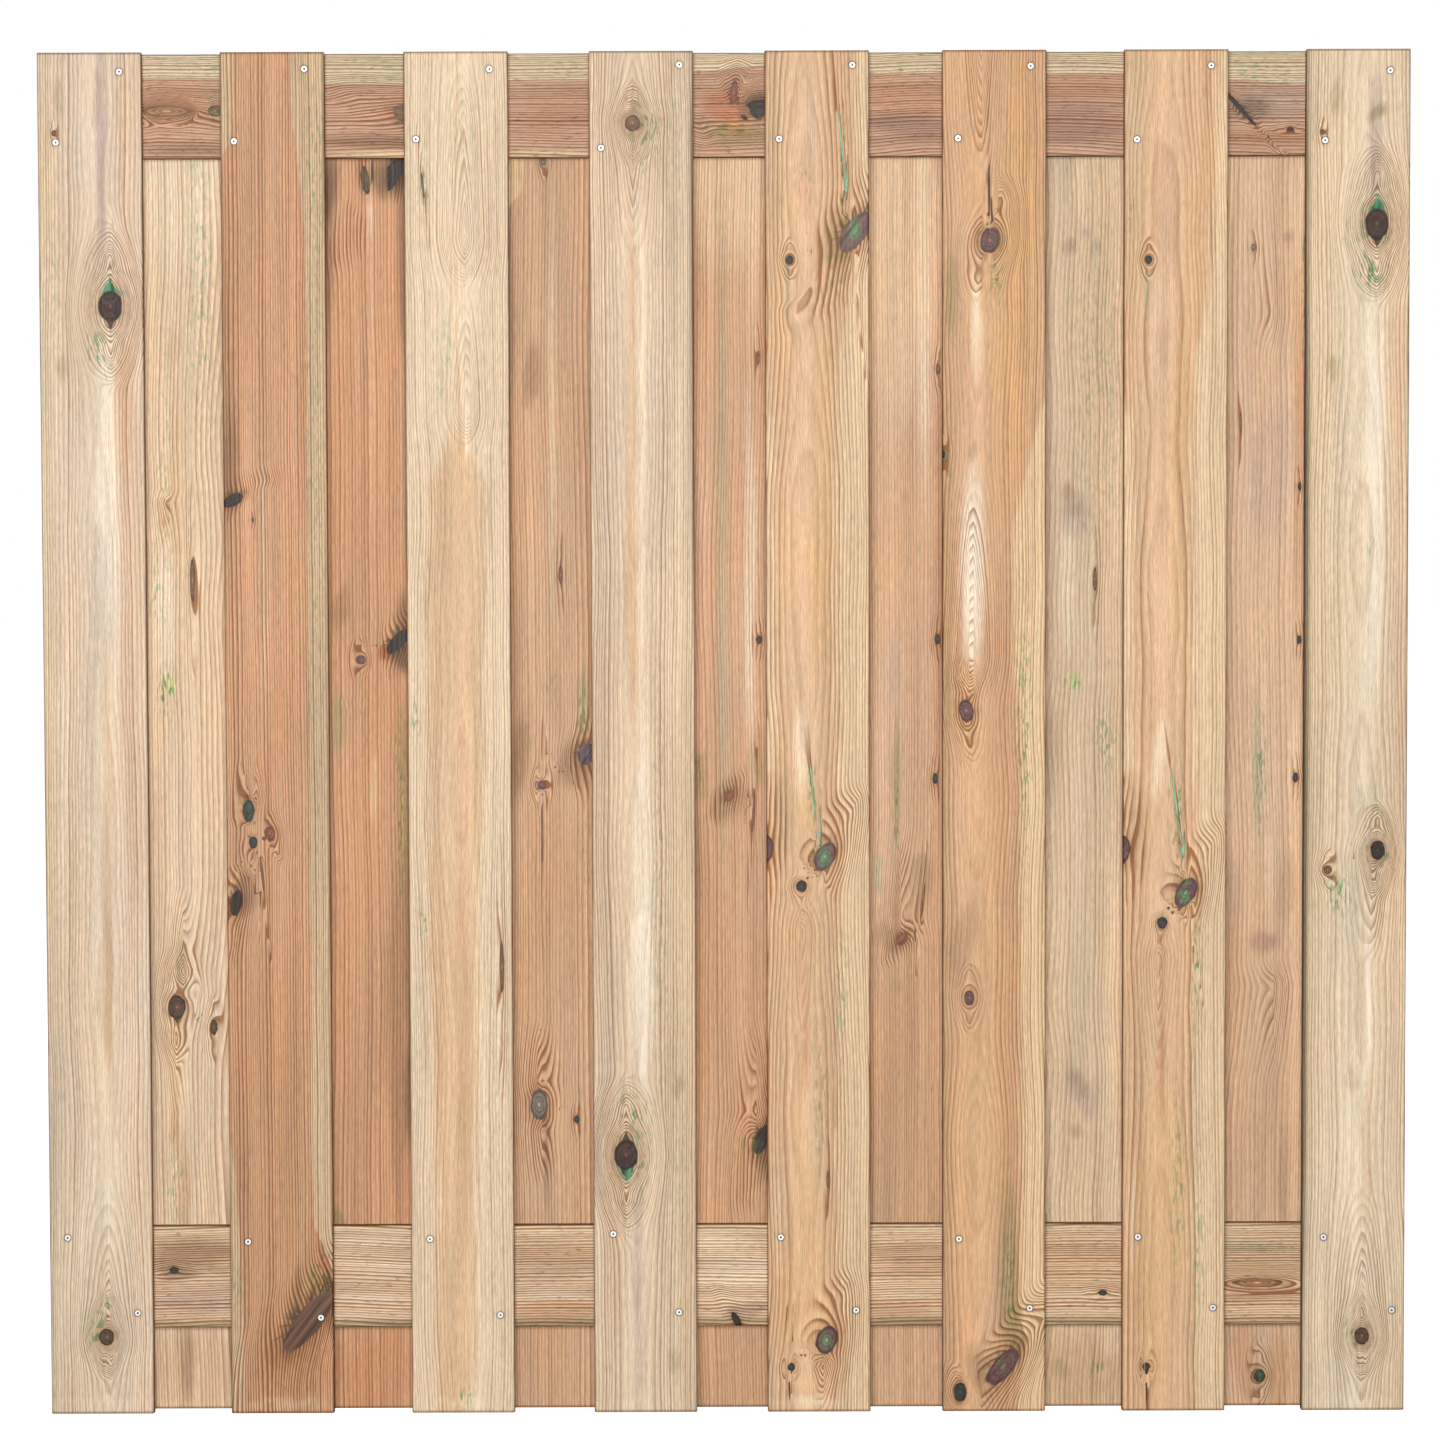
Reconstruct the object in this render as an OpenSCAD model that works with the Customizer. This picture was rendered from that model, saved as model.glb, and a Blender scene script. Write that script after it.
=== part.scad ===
// Hit-and-miss garden screen panel of planed softwood.
// Upright boards are screwed to the front of two rails, and more boards cover the gaps from behind.
// X runs along the panel, -Y is the front, Z is up. The origin is the middle of the bottom rail's left end.

/* [Panel] */
// Width across the outer edges of the two outer boards
panel_w = 1800; // [1400:10:2000]
// Height of every upright board
panel_h = 1800; // [900:10:2100]

/* [Boards] */
// Face width of a planed board
board_w = 137; // [125:1:165]
// Thickness of a planed board
board_t = 16; // [12:0.5:24]
// Radius of the eased long edges
arris_r = 3; // [1:0.5:5]
// Number of boards on the front; one fewer covers the gaps from behind
front_count = 8; // [8:1:11]
// How far right of its even place each front board was set by eye
board_slip = [0, 2, 5, 10, 3, -2, -1, 0];

/* [Rails] */
// Face width of a rail
rail_w = 137; // [90:1:165]
// Thickness of a rail
rail_t = 16; // [12:0.5:40]
// Height of the bottom rail's lower edge above the feet of the boards
bottom_rail_rise = 112; // [40:1:400]
// How far the top rail's upper edge lies below the tops of the boards
top_rail_drop = 1; // [0:1:200]

/* [Screws] */
// Length of a countersunk screw
screw_len = 28; // [22:0.5:28]
// Diameter of the screw's head
head_d = 8; // [6:0.2:9]
// Height of the straight rim round the head
head_rim = 0.4; // [0.2:0.1:0.8]
// Diameter of the screw's core, without its thread
core_d = 3; // [2.4:0.1:4]
// Length of the screw's tapered point
point_len = 4; // [2:0.5:6]
// Width of the driver recess across its flats
recess_w = 3.2; // [2:0.1:3.6]
// Depth of the driver recess
recess_depth = 1.4; // [0.8:0.1:1.6]
// How far the head is sunk below the face of the board
head_sink = 0.3; // [0.1:0.1:1]
// Distance from a board's long edge to its screws
screw_side_edge = 21; // [15:1:40]
// Distance from a rail's long edge to its screws
screw_rail_edge = 22; // [15:1:40]
// Where the left and right screw of each front board sit off the top rail's pattern, along X and Z
top_left_slip = [[3, -1], [-3, 0], [-5, 2], [-5, -10], [-2, 1], [0, 1], [-4, -1], [4, -3]];
top_right_slip = [[-8, -2], [-5, 1], [-3, 0], [3, 5], [-1, 4], [0, 2], [-2, 2], [-6, -5]];
// The same for the bottom rail
bottom_left_slip = [[3, 9], [3, 3], [4, 6], [5, 12], [-3, 7], [1, 4], [0, 6], [8, 5]];
bottom_right_slip = [[0, 1], [4, -6], [2, -3], [-3, 0], [2, 2], [0, 4], [5, 4], [4, 0]];

/* [Clearances] */
// Width by which the hole through a board is larger than the screw's core
board_hole_gap = 1.5; // [0.6:0.1:2]
// Gap round the head in its countersink
head_gap = 0.1; // [0.05:0.05:0.3]
// Gap round the core in the rail
core_gap = 0.1; // [0.05:0.05:0.3]
// Depth of the rail's pilot hole beyond the screw's point
pilot_spare = 1; // [0.5:0.5:3]

/* [Hidden] */
round_steps = 48;
over = 1;
back_count = front_count - 1;
pitch = (panel_w - board_w) / (front_count - 1);
stack_t = rail_t + 2 * board_t;
rail_mid = rail_w / 2;
bottom_rail_z = bottom_rail_rise + rail_mid;
top_rail_z = panel_h - top_rail_drop - rail_mid;
screw_dx = board_w / 2 - screw_side_edge;
screw_dz = rail_w / 2 - screw_rail_edge;
head_cone = (head_d - core_d) / 2;
board_hole_d = core_d + board_hole_gap;
pilot_d = core_d + 2 * core_gap;
pilot_depth = screw_len + head_sink - board_t + pilot_spare;
point_tip = 0.3;

// Middle of a front board, counted from the left, and of the back board that covers the gap to its right
function slip(list, i) = i <= len(list) ? list[i - 1] : 0 * list[0];
function front_x(i) = board_w / 2 + (i - 1) * pitch + slip(board_slip, i);
function back_x(i) = (front_x(i) + front_x(i + 1)) / 2;

// Places of the two screws where a board crosses a rail: they lie on a diagonal,
// rising to the right on the top rail and falling to the right on the bottom rail
function cross_screws(x, z, rise, left_slip, right_slip) = [
    [x - screw_dx + left_slip[0], z - rise * screw_dz + left_slip[1]],
    [x + screw_dx + right_slip[0], z + rise * screw_dz + right_slip[1]]
];
function front_top(i) =
    cross_screws(front_x(i), top_rail_z, 1, slip(top_left_slip, i), slip(top_right_slip, i));
function front_bottom(i) =
    cross_screws(front_x(i), bottom_rail_z, -1, slip(bottom_left_slip, i), slip(bottom_right_slip, i));
function back_top(i) = cross_screws(back_x(i), top_rail_z, 1, [0, 0], [0, 0]);
function back_bottom(i) = cross_screws(back_x(i), bottom_rail_z, -1, [0, 0], [0, 0]);

function all_front_top() = [for (i = [1 : front_count]) each front_top(i)];
function all_front_bottom() = [for (i = [1 : front_count]) each front_bottom(i)];
function all_back_top() = [for (i = [1 : back_count]) each back_top(i)];
function all_back_bottom() = [for (i = [1 : back_count]) each back_bottom(i)];

// Heights above are measured from the feet of the boards; this moves them to the row's origin
module from_feet() {
    translate([0, 0, -bottom_rail_z]) children();
}

// Section of a planed board with its four long edges eased by an arc
module planed_section(w, t) {
    square([w - 2 * arris_r, t], center = true);
    square([w, t - 2 * arris_r], center = true);
    for (sx = [-1, 1], sy = [-1, 1])
        translate([sx * (w / 2 - arris_r), sy * (t / 2 - arris_r)]) circle(r = arris_r, $fn = round_steps);
}

// A screw, or what is cut for one, with its head at the given place on the front or on the back
module on_front(places) {
    for (p = places) translate([p[0], -stack_t / 2 + head_sink, p[1]]) rotate([-90, 0, 0]) children();
}

module on_back(places) {
    for (p = places) translate([p[0], stack_t / 2 - head_sink, p[1]]) rotate([90, 0, 0]) children();
}

// Countersunk screw along +Z, with the face of its head at zero
module screw() {
    head_r = head_d / 2;
    core_r = core_d / 2;
    difference() {
        rotate_extrude($fn = round_steps) polygon([
            [0, 0], [head_r, 0], [head_r, head_rim], [core_r, head_rim + head_cone],
            [core_r, screw_len - point_len], [point_tip, screw_len], [0, screw_len]
        ]);
        translate([0, 0, -over]) cylinder(d = recess_w / cos(30), h = recess_depth + over, $fn = 6);
    }
}

// Clearance hole through a board with the seat for the head, as a solid to cut away
module board_hole() {
    seat_d = head_d + 2 * head_gap;
    translate([0, 0, -head_sink - over]) cylinder(d = seat_d, h = head_sink + over + head_rim, $fn = round_steps);
    translate([0, 0, head_rim]) cylinder(d1 = seat_d, d2 = core_d + 2 * head_gap, h = head_cone, $fn = round_steps);
    cylinder(d = board_hole_d, h = board_t + over, $fn = round_steps);
}

// Blind pilot hole in a rail, cut from the face that the board lies on
module pilot_hole() {
    face = board_t - head_sink;
    translate([0, 0, face - over]) cylinder(d = pilot_d, h = pilot_depth - head_sink + over, $fn = round_steps);
}

module front_board(i) {
    color([0.84, 0.70, 0.52]) from_feet() difference() {
        translate([front_x(i), -(rail_t + board_t) / 2, 0])
            linear_extrude(panel_h) planed_section(board_w, board_t);
        on_front(concat(front_top(i), front_bottom(i))) board_hole();
    }
}

module back_board(i) {
    color([0.80, 0.66, 0.50]) from_feet() difference() {
        translate([back_x(i), (rail_t + board_t) / 2, 0])
            linear_extrude(panel_h) planed_section(board_w, board_t);
        on_back(concat(back_top(i), back_bottom(i))) board_hole();
    }
}

module rail(z, front_places, back_places) {
    color([0.76, 0.58, 0.42]) from_feet() difference() {
        translate([0, 0, z]) rotate([90, 0, 90]) linear_extrude(panel_w) planed_section(rail_t, rail_w);
        on_front(front_places) pilot_hole();
        on_back(back_places) pilot_hole();
    }
}

module top_rail() {
    rail(top_rail_z, all_front_top(), all_back_top());
}

module bottom_rail() {
    rail(bottom_rail_z, all_front_bottom(), all_back_bottom());
}

module front_screws(places) {
    color([0.86, 0.86, 0.85]) from_feet() on_front(places) screw();
}

module back_screws(places) {
    color([0.86, 0.86, 0.85]) from_feet() on_back(places) screw();
}

for (i = [1 : front_count])
    front_board(i);
for (i = [1 : back_count])
    back_board(i);
top_rail();
bottom_rail();
front_screws(all_front_top());  // front_screws_top
front_screws(all_front_bottom());  // front_screws_bottom
back_screws(all_back_top());  // back_screws_top
back_screws(all_back_bottom());  // back_screws_bottom
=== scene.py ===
# %% [markdown]
# # A hit-and-miss garden screen in planed, pressure-treated pine
#
# The real screen is seventeen planks and sixty screws. Eight planks stand on the front of two rails, and seven more
# stand behind and cover the gaps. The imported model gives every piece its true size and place, and this script only
# gives the pieces their looks. It loads the model first, because each board is built around it.

# %% Load the frame
import math
from collections import namedtuple

import bpy
import numpy as np
from mathutils import Matrix, Vector


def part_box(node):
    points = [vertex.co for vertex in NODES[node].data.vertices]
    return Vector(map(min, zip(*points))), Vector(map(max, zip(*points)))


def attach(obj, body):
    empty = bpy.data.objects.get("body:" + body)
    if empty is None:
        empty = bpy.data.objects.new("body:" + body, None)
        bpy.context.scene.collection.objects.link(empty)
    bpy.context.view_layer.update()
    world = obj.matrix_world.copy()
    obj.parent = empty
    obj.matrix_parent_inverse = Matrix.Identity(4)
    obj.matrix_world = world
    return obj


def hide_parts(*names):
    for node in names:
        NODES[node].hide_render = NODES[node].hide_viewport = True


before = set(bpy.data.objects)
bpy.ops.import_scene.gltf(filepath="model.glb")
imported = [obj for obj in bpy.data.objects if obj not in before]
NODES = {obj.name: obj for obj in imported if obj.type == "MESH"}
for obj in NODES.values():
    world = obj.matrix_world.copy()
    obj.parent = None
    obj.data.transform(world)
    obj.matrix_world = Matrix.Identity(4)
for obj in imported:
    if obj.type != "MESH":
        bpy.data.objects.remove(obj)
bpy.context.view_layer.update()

FOOT_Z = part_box("front_board_1")[0][2]
FRONT_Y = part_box("front_board_1")[0][1]
print("nodes", len(NODES), "feet at", round(FOOT_Z, 4), "front face at", round(FRONT_Y, 4))

# %% [markdown]
# ## Camera
#
# The photograph looks at the front from six metres with a long lens, slightly downwards. A camera that far away keeps
# the boards nearly parallel, and only a thin strip of the side faces shows. The place and the focal length were
# worked out from the outer corners and the edges of the boards, so the render lies over the photograph.

# %% Camera
PHOTO_SIDE = 1440
FOCAL_PX = 4564.1
SENSOR = 36.0
CAM_X, CAM_BACK, CAM_UP = 0.89282, 6.01419, 1.25988
CAM_PITCH, CAM_YAW, CAM_ROLL = -3.211, 0.0031, -0.1722

camera_data = bpy.data.cameras.new("camera")
camera_data.sensor_width = SENSOR
camera_data.lens = SENSOR * FOCAL_PX / PHOTO_SIDE
camera = bpy.data.objects.new("camera", camera_data)
bpy.context.scene.collection.objects.link(camera)
place = Matrix.Translation((CAM_X, FRONT_Y - CAM_BACK, FOOT_Z + CAM_UP))
turn = Matrix.Rotation(math.radians(CAM_YAW), 4, "Z") @ Matrix.Rotation(math.radians(90 + CAM_PITCH), 4, "X")
camera.matrix_world = place @ turn @ Matrix.Rotation(math.radians(CAM_ROLL), 4, "Z")
bpy.context.scene.camera = camera
print("camera", [round(v, 3) for v in camera.matrix_world.translation], "lens", round(camera_data.lens, 1))

# %% [markdown]
# ## Node helpers
#
# Every material and every shape rule here is made of nodes. Wiring them by hand takes many lines, so a few helpers
# make a node, set its inputs and return its output. An input may be a number or another node's output, and the helper
# tells them apart.


# %% Node helpers
def put(tree, socket, value):
    if isinstance(value, bpy.types.NodeSocket):
        tree.links.new(value, socket)
    elif value is not None:
        socket.default_value = value


def node(tree, kind, inputs=(), **settings):
    made = tree.nodes.new(kind)
    for name, value in settings.items():
        setattr(made, name, value)
    for key, value in dict(inputs).items():
        put(tree, made.inputs[key], value)
    return made


def calc(tree, operation, a, b=None, c=None, clamp=False):
    made = node(tree, "ShaderNodeMath", {0: a}, operation=operation, use_clamp=clamp)
    if b is not None:
        put(tree, made.inputs[1], b)
    if c is not None:
        put(tree, made.inputs[2], c)
    return made.outputs[0]


def step(tree, value, low, high):
    inputs = {0: value, 1: low, 2: high, 3: 0.0, 4: 1.0}
    return node(tree, "ShaderNodeMapRange", inputs, interpolation_type="SMOOTHSTEP").outputs[0]


def mix(tree, factor, a, b, blend="MIX"):
    inputs = {0: factor, 6: a, 7: b}
    return node(tree, "ShaderNodeMix", inputs, data_type="RGBA", blend_type=blend).outputs[2]


def combine(tree, x, y, z):
    return node(tree, "ShaderNodeCombineXYZ", {0: x, 1: y, 2: z}).outputs[0]


def split(tree, vector):
    return node(tree, "ShaderNodeSeparateXYZ", {0: vector}).outputs


def noise(tree, vector, detail=1.0, roughness=0.5):
    inputs = {"Vector": vector, "Scale": 1.0, "Detail": detail, "Roughness": roughness}
    return node(tree, "ShaderNodeTexNoise", inputs).outputs[0]


def noise_along(tree, value, detail=0.0):
    inputs = {"W": value, "Scale": 1.0, "Detail": detail}
    return node(tree, "ShaderNodeTexNoise", inputs, noise_dimensions="1D").outputs[0]


def group(name, kind, inputs, outputs):
    tree = bpy.data.node_groups.new(name, kind)
    for label, socket, *value in inputs:
        made = tree.interface.new_socket(label, in_out="INPUT", socket_type=socket)
        if value:
            made.default_value = value[0]
    for label, socket in outputs:
        tree.interface.new_socket(label, in_out="OUTPUT", socket_type=socket)
    return tree, tree.nodes.new("NodeGroupInput").outputs, tree.nodes.new("NodeGroupOutput").inputs


def linear(code):
    levels = [int(code[i:i + 2], 16) / 255 for i in (0, 2, 4)]
    return tuple(v / 12.92 if v <= 0.04045 else ((v + 0.055) / 1.055) ** 2.4 for v in levels)


print("straw is", [round(v, 3) for v in linear("dcc29c")])

# %% [markdown]
# ## The pine itself
#
# A pine board shows the tree's yearly rings, cut lengthwise. Pale wood grows in spring and a thin dark line in late
# summer. One way to paint that is a stretched stripe pattern, but then the face, the edge and the sawn end don't
# agree. Here the rings are real rings instead: the distance from a wandering pith gives the ring number at any point
# in space. A flat face that runs beside the pith then shows arches by itself, and the ends show arcs.
#
# A knot is the root of a branch. The yearly rings rise round it and the fibres go round it, so each knot lifts the
# ring number in a lens shape and pushes the grain aside.

# %% Ring group
LATE_TINT = (*linear("b39278"), 1.0)
GREEN_TINT = (*linear("9ccf9f"), 1.0)
TEAL_TINT = (*linear("86cdb8"), 1.0)
END_TINT = (*linear("c2a884"), 1.0)
# a dark wood tone for pores and streaks in knots, also laid along the board edges as painted shade
DARK_GRAIN_AND_SHADE_TINT = (*linear("8d7558"), 1.0)
STAIN_TINT = (*linear("c2a58a"), 1.0)
FLAME_TONE = (*linear("5fa57c"), 1.0)
POINT_TONE = (*linear("5b4a36"), 1.0)
# painted shade for the countersinks round the screw heads
SEAT_SHADE_TONE = (*linear("5a4632"), 1.0)
KNOT_GREEN = (*linear("5d7f58"), 1.0)

pine, pine_in, pine_out = group(
    "planed pine", "ShaderNodeTree",
    [("Space", "NodeSocketVector"), ("Knot", "NodeSocketVector"), ("Knot Traits", "NodeSocketVector"),
     ("Knot Tips", "NodeSocketVector"), ("Fringe", "NodeSocketFloat"), ("Seat", "NodeSocketVector"),
     ("Ground", "NodeSocketColor"), ("Knot Colour", "NodeSocketColor"), ("Sap Colour", "NodeSocketColor"),
     ("Sap", "NodeSocketFloat", -30.0), ("Green", "NodeSocketFloat"), ("Arches", "NodeSocketFloat"),
     ("Length", "NodeSocketFloat", 1800.0),
     ("Half Width", "NodeSocketFloat", 68.5), ("Ring Width", "NodeSocketFloat", 4.2),
     ("Pith Across", "NodeSocketFloat"), ("Pith Depth", "NodeSocketFloat", 40.0), ("Tilt", "NodeSocketFloat"),
     ("Wander", "NodeSocketFloat", 4.0), ("Wander Length", "NodeSocketFloat", 400.0),
     ("Grain", "NodeSocketFloat", 0.5), ("Dashes", "NodeSocketFloat", 0.2), ("Seed", "NodeSocketFloat")],
    [("Colour", "NodeSocketColor"), ("Roughness", "NodeSocketFloat"), ("Height", "NodeSocketFloat")])


def build_pine(tree, g, out):
    def mul(a, b, clamp=False):
        return calc(tree, "MULTIPLY", a, b, clamp=clamp)

    def add(a, b):
        return calc(tree, "ADD", a, b)

    def sub(a, b):
        return calc(tree, "SUBTRACT", a, b)

    def scaled(value, slope, base):
        return calc(tree, "MULTIPLY_ADD", value, slope, base)

    def rise(value, low, high):
        return step(tree, value, low, high)

    def fall(value, low, high):
        return sub(1.0, step(tree, value, low, high))

    def size(value):
        return calc(tree, "ABSOLUTE", value)

    def grain_noise(across, depth, along, fine, long, detail, roughness=0.5, shift=0.0):
        place = combine(tree, mul(across, fine), mul(depth, fine), scaled(along, long, add(g["Seed"], shift)))
        return noise(tree, place, detail, roughness)

    def times(colour, factor, other):
        return mix(tree, factor, colour, mix(tree, 1.0, colour, other, "MULTIPLY"))

    space = split(tree, g["Space"])
    depth, along = space[1], space[2]
    qx, qy, near = split(tree, g["Knot"])
    knot_du, knot_size, lift = split(tree, g["Knot Traits"])
    tip, point, notch = split(tree, g["Knot Tips"])
    seed = g["Seed"]

    # distance from the nearest knot: round at its edge, a pointed lens further out, with a cusp on one side
    radius = calc(tree, "SQRT", add(add(mul(qx, qx), mul(qy, qy)), 1e-4))
    crumble = noise(tree, combine(tree, mul(qx, 1.4), mul(qy, 1.4), seed), 1.0, 0.6)
    shake = sub(crumble, 0.5)
    oval = calc(tree, "SQRT", scaled(mul(qy, qy), 0.32, scaled(mul(qx, qx), 1.0, 1e-4)))
    lens = scaled(oval, 0.7, mul(scaled(size(qy), 0.5, size(qx)), 0.3))
    outline = scaled(sub(lens, radius), rise(radius, 1.2, 3.4), radius)
    axis = calc(tree, "EXPONENT", mul(mul(qx, qx), -4.0))
    cusp = mul(mul(axis, rise(mul(qy, -1.0), 0.5, 1.6)), notch)
    outline = scaled(cusp, 0.42, outline)
    shield = mul(fall(outline, 1.0, 4.2), near)
    swell = mul(fall(outline, 0.5, 3.3), near)
    rings_up = mul(mul(mul(swell, lift), knot_size), -1.5)
    pushed = mul(mul(shield, knot_du), calc(tree, "MINIMUM", lift, 0.85))
    across = sub(space[0], pushed)

    # the pith lies a little crooked in the board
    far = calc(tree, "DIVIDE", along, g["Wander Length"])
    sway = scaled(sub(noise_along(tree, add(far, seed), 1.0), 0.5), mul(g["Wander"], 2.0), g["Pith Across"])
    sink = scaled(sub(noise_along(tree, sub(far, seed), 1.0), 0.5), mul(g["Wander"], 4.0), g["Pith Depth"])
    sink = scaled(mul(along, 0.001), g["Tilt"], sink)
    du, dd = sub(across, sway), sub(depth, sink)
    reach = calc(tree, "SQRT", add(mul(du, du), mul(dd, dd)))
    slow = grain_noise(across, depth, along, 0.034, 0.0075, 1.0, 0.5)
    reach = scaled(slow, 3.4, add(add(reach, rings_up), g["Arches"]))

    # good and bad years: the ring width varies, and some rings are darker
    years = calc(tree, "DIVIDE", reach, g["Ring Width"])
    years = scaled(noise_along(tree, scaled(years, 0.21, seed)), 1.6, years)
    part = calc(tree, "FRACT", years)
    late = mul(calc(tree, "POWER", part, scaled(shield, 1.0, 1.8)), fall(part, 0.80, 1.0))
    strength = node(tree, "ShaderNodeTexWhiteNoise", {"W": add(calc(tree, "FLOOR", years), seed)},
                    noise_dimensions="1D").outputs[0]
    bold = scaled(rise(size(du), 6.0, 38.0), 0.78, scaled(shield, 0.8, 0.28))
    bold = scaled(rise(size(g["Arches"]), 1.0, 10.0), 0.8, bold)
    late = mul(mul(mul(late, bold), scaled(strength, 1.3, 0.9)), scaled(shield, 0.6, g["Grain"]), clamp=True)

    # fibres, and a fine tooth left by the planer
    fibre = grain_noise(across, depth, along, 0.50, 0.010, 1.0, 0.6)
    tooth = grain_noise(across, depth, along, 0.75, 0.06, 1.0, 0.6)
    streak = grain_noise(across, depth, along, 0.085, 0.0035, 0.0, 0.5, 20.0)
    shade = scaled(sub(tooth, 0.5), 0.85, scaled(sub(streak, 0.5), 0.32, 1.21))
    shade = scaled(sub(fibre, 0.5), 0.64, shade)
    sapwood = mul(rise(scaled(sub(fibre, 0.5), 5.0, g["Sap"]), -1.0, 1.0), 0.85)
    colour = mix(tree, sapwood, g["Ground"], g["Sap Colour"])
    colour = times(colour, late, LATE_TINT)
    colour = mix(tree, 1.0, colour, combine(tree, shade, shade, shade), "MULTIPLY")

    # green flecks of preservative and dark pores, broken up along the grain
    fleck = grain_noise(across, depth, along, 0.34, 0.075, 1.0, 0.6, 40.0)
    around = mul(mul(swell, lift), 0.3)
    green = mul(add(g["Green"], around), rise(fleck, 0.50, 0.66), clamp=True)
    colour = times(colour, green, mix(tree, rise(fibre, 0.45, 0.6), GREEN_TINT, TEAL_TINT))
    colour = times(colour, mul(fall(fleck, 0.26, 0.38), g["Dashes"]), DARK_GRAIN_AND_SHADE_TINT)

    # the knot: fine rings, radial cracks, a dark rim and a pale pith
    edge = scaled(shake, 0.3, radius)
    present = rise(near, 0.0, 0.1)
    core = mul(fall(edge, 0.92, 1.04), present)
    spokes = noise(tree, combine(tree, mul(calc(tree, "DIVIDE", qx, radius), 7.0),
                                 mul(calc(tree, "DIVIDE", qy, radius), 7.0), seed), 1.0)
    tone = scaled(calc(tree, "SINE", mul(edge, 22.0)), 0.24, 0.95)
    tone = mul(tone, scaled(rise(edge, 0.70, 0.92), -0.55, 1.0))
    tone = mul(tone, scaled(fall(radius, 0.06, 0.26), 1.0, 1.0))
    tone = mul(tone, scaled(mul(rise(spokes, 0.54, 0.64), rise(radius, 0.2, 0.5)), -0.4, 1.0))
    tone = mul(tone, scaled(crumble, 1.3, 0.4))
    slash = noise(tree, combine(tree, mul(qx, 3.2), mul(qy, 0.5), add(seed, 3.0)), 1.0, 0.6)
    tone = scaled(sub(scaled(sub(slash, 0.5), 2.6, 0.95), tone), g["Fringe"], tone)
    mossy = mul(mul(g["Green"], rise(crumble, 0.38, 0.58)), 0.75, clamp=True)
    knot_colour = mix(tree, mossy, g["Knot Colour"], KNOT_GREEN)
    knot_colour = mix(tree, 1.0, knot_colour, combine(tree, tone, tone, tone), "MULTIPLY")
    colour = times(colour, mul(mul(fall(edge, 0.9, 2.1), near), 0.45), STAIN_TINT)
    hairs = mul(mul(rise(spokes, 0.47, 0.58), fall(radius, 1.0, 1.9)), rise(sub(mul(qy, 0.5), qx), 0.2, 0.9))
    colour = mix(tree, mul(mul(hairs, g["Fringe"]), present, clamp=True), colour, POINT_TONE)
    flame = scaled(calc(tree, "DIVIDE", sub(qy, 0.75), add(tip, 0.01)), -0.75, 0.75)
    flame = sub(calc(tree, "MINIMUM", flame, 0.75), size(qx))
    flame = mul(mul(rise(scaled(shake, 0.9, flame), -0.08, 0.24), rise(tip, 0.0, 0.1)), rise(qy, 0.0, 0.3))
    colour = mix(tree, mul(flame, present), colour, times(FLAME_TONE, rise(fibre, 0.42, 0.6), DARK_GRAIN_AND_SHADE_TINT))
    thorn = calc(tree, "DIVIDE", sub(mul(qy, -1.0), 0.9), add(point, 0.01))
    thorn = sub(scaled(thorn, -0.36, 0.36), size(qx))
    thorn = mul(mul(rise(thorn, -0.06, 0.06), rise(point, 0.0, 0.1)), fall(qy, -0.3, 0.0))
    colour = mix(tree, mul(thorn, present), colour, POINT_TONE)
    colour = mix(tree, core, colour, knot_colour)

    # painted shade in the countersink round each screw head, with a faint darker halo on the wood around it
    seat = split(tree, g["Seat"])
    seat_r = calc(tree, "SQRT", add(mul(seat[0], seat[0]), mul(seat[1], seat[1])))
    seat_shade = mul(scaled(fall(seat_r, 4.2, 5.4), 0.75, mul(fall(seat_r, 4.6, 8.5), 0.22)), seat[2])
    colour = mix(tree, seat_shade, colour, SEAT_SHADE_TONE)

    # painted shade: the faces are darkened in the last few millimetres at the long edges and at the ends, and the side
    # faces darker still; the sawn end faces take the end-grain colour
    rim = rise(sub(size(space[0]), g["Half Width"]), -2.6, -0.3)
    tail = calc(tree, "MAXIMUM", fall(along, 1.0, 4.5), rise(sub(along, g["Length"]), -4.0, -0.8))
    rim = mul(calc(tree, "MAXIMUM", rim, tail), scaled(fibre, 0.9, 0.25), clamp=True)
    colour = times(colour, rim, DARK_GRAIN_AND_SHADE_TINT)
    # painted shade on the side faces, which stand edge-on to the lamp
    side_shade = rise(sub(size(space[0]), g["Half Width"]), -1.0, -0.2)
    colour = times(colour, mul(side_shade, 0.75), DARK_GRAIN_AND_SHADE_TINT)
    sawn = calc(tree, "MAXIMUM", fall(along, 0.1, 0.5), rise(sub(along, g["Length"]), -0.5, -0.1))
    put(tree, out["Colour"], times(colour, sawn, END_TINT))

    rough = scaled(late, -0.10, scaled(fibre, 0.18, 0.58))
    put(tree, out["Roughness"], scaled(core, -0.12, rough))
    put(tree, out["Height"], grain_noise(space[0], depth, along, 0.75, 0.02, 1.0, 0.65))


build_pine(pine, pine_in, pine_out)
print("planed pine group has", len(pine.nodes), "nodes")

# %% [markdown]
# ## What each board shows
#
# No two boards look alike: each has its own tone, knots, sapwood edges and stains, and the photograph shows where
# they are. A few dark strips at board edges are painted shade. Places are in millimetres on the board: across from its
# middle line, and up from its foot, or along from the left on a rail.

# %% Board notes
Knot = namedtuple("Knot", "u v ru rv lean wood lift tip point notch fringe")
Mark = namedtuple("Mark", "u v ru rv tone strength")
Arch = namedtuple("Arch", "u v_base v_tip width rise")
Plank = namedtuple("Plank", "slot tone ring pith wander tilt grain dashes sap knots marks greens arches")

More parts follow.
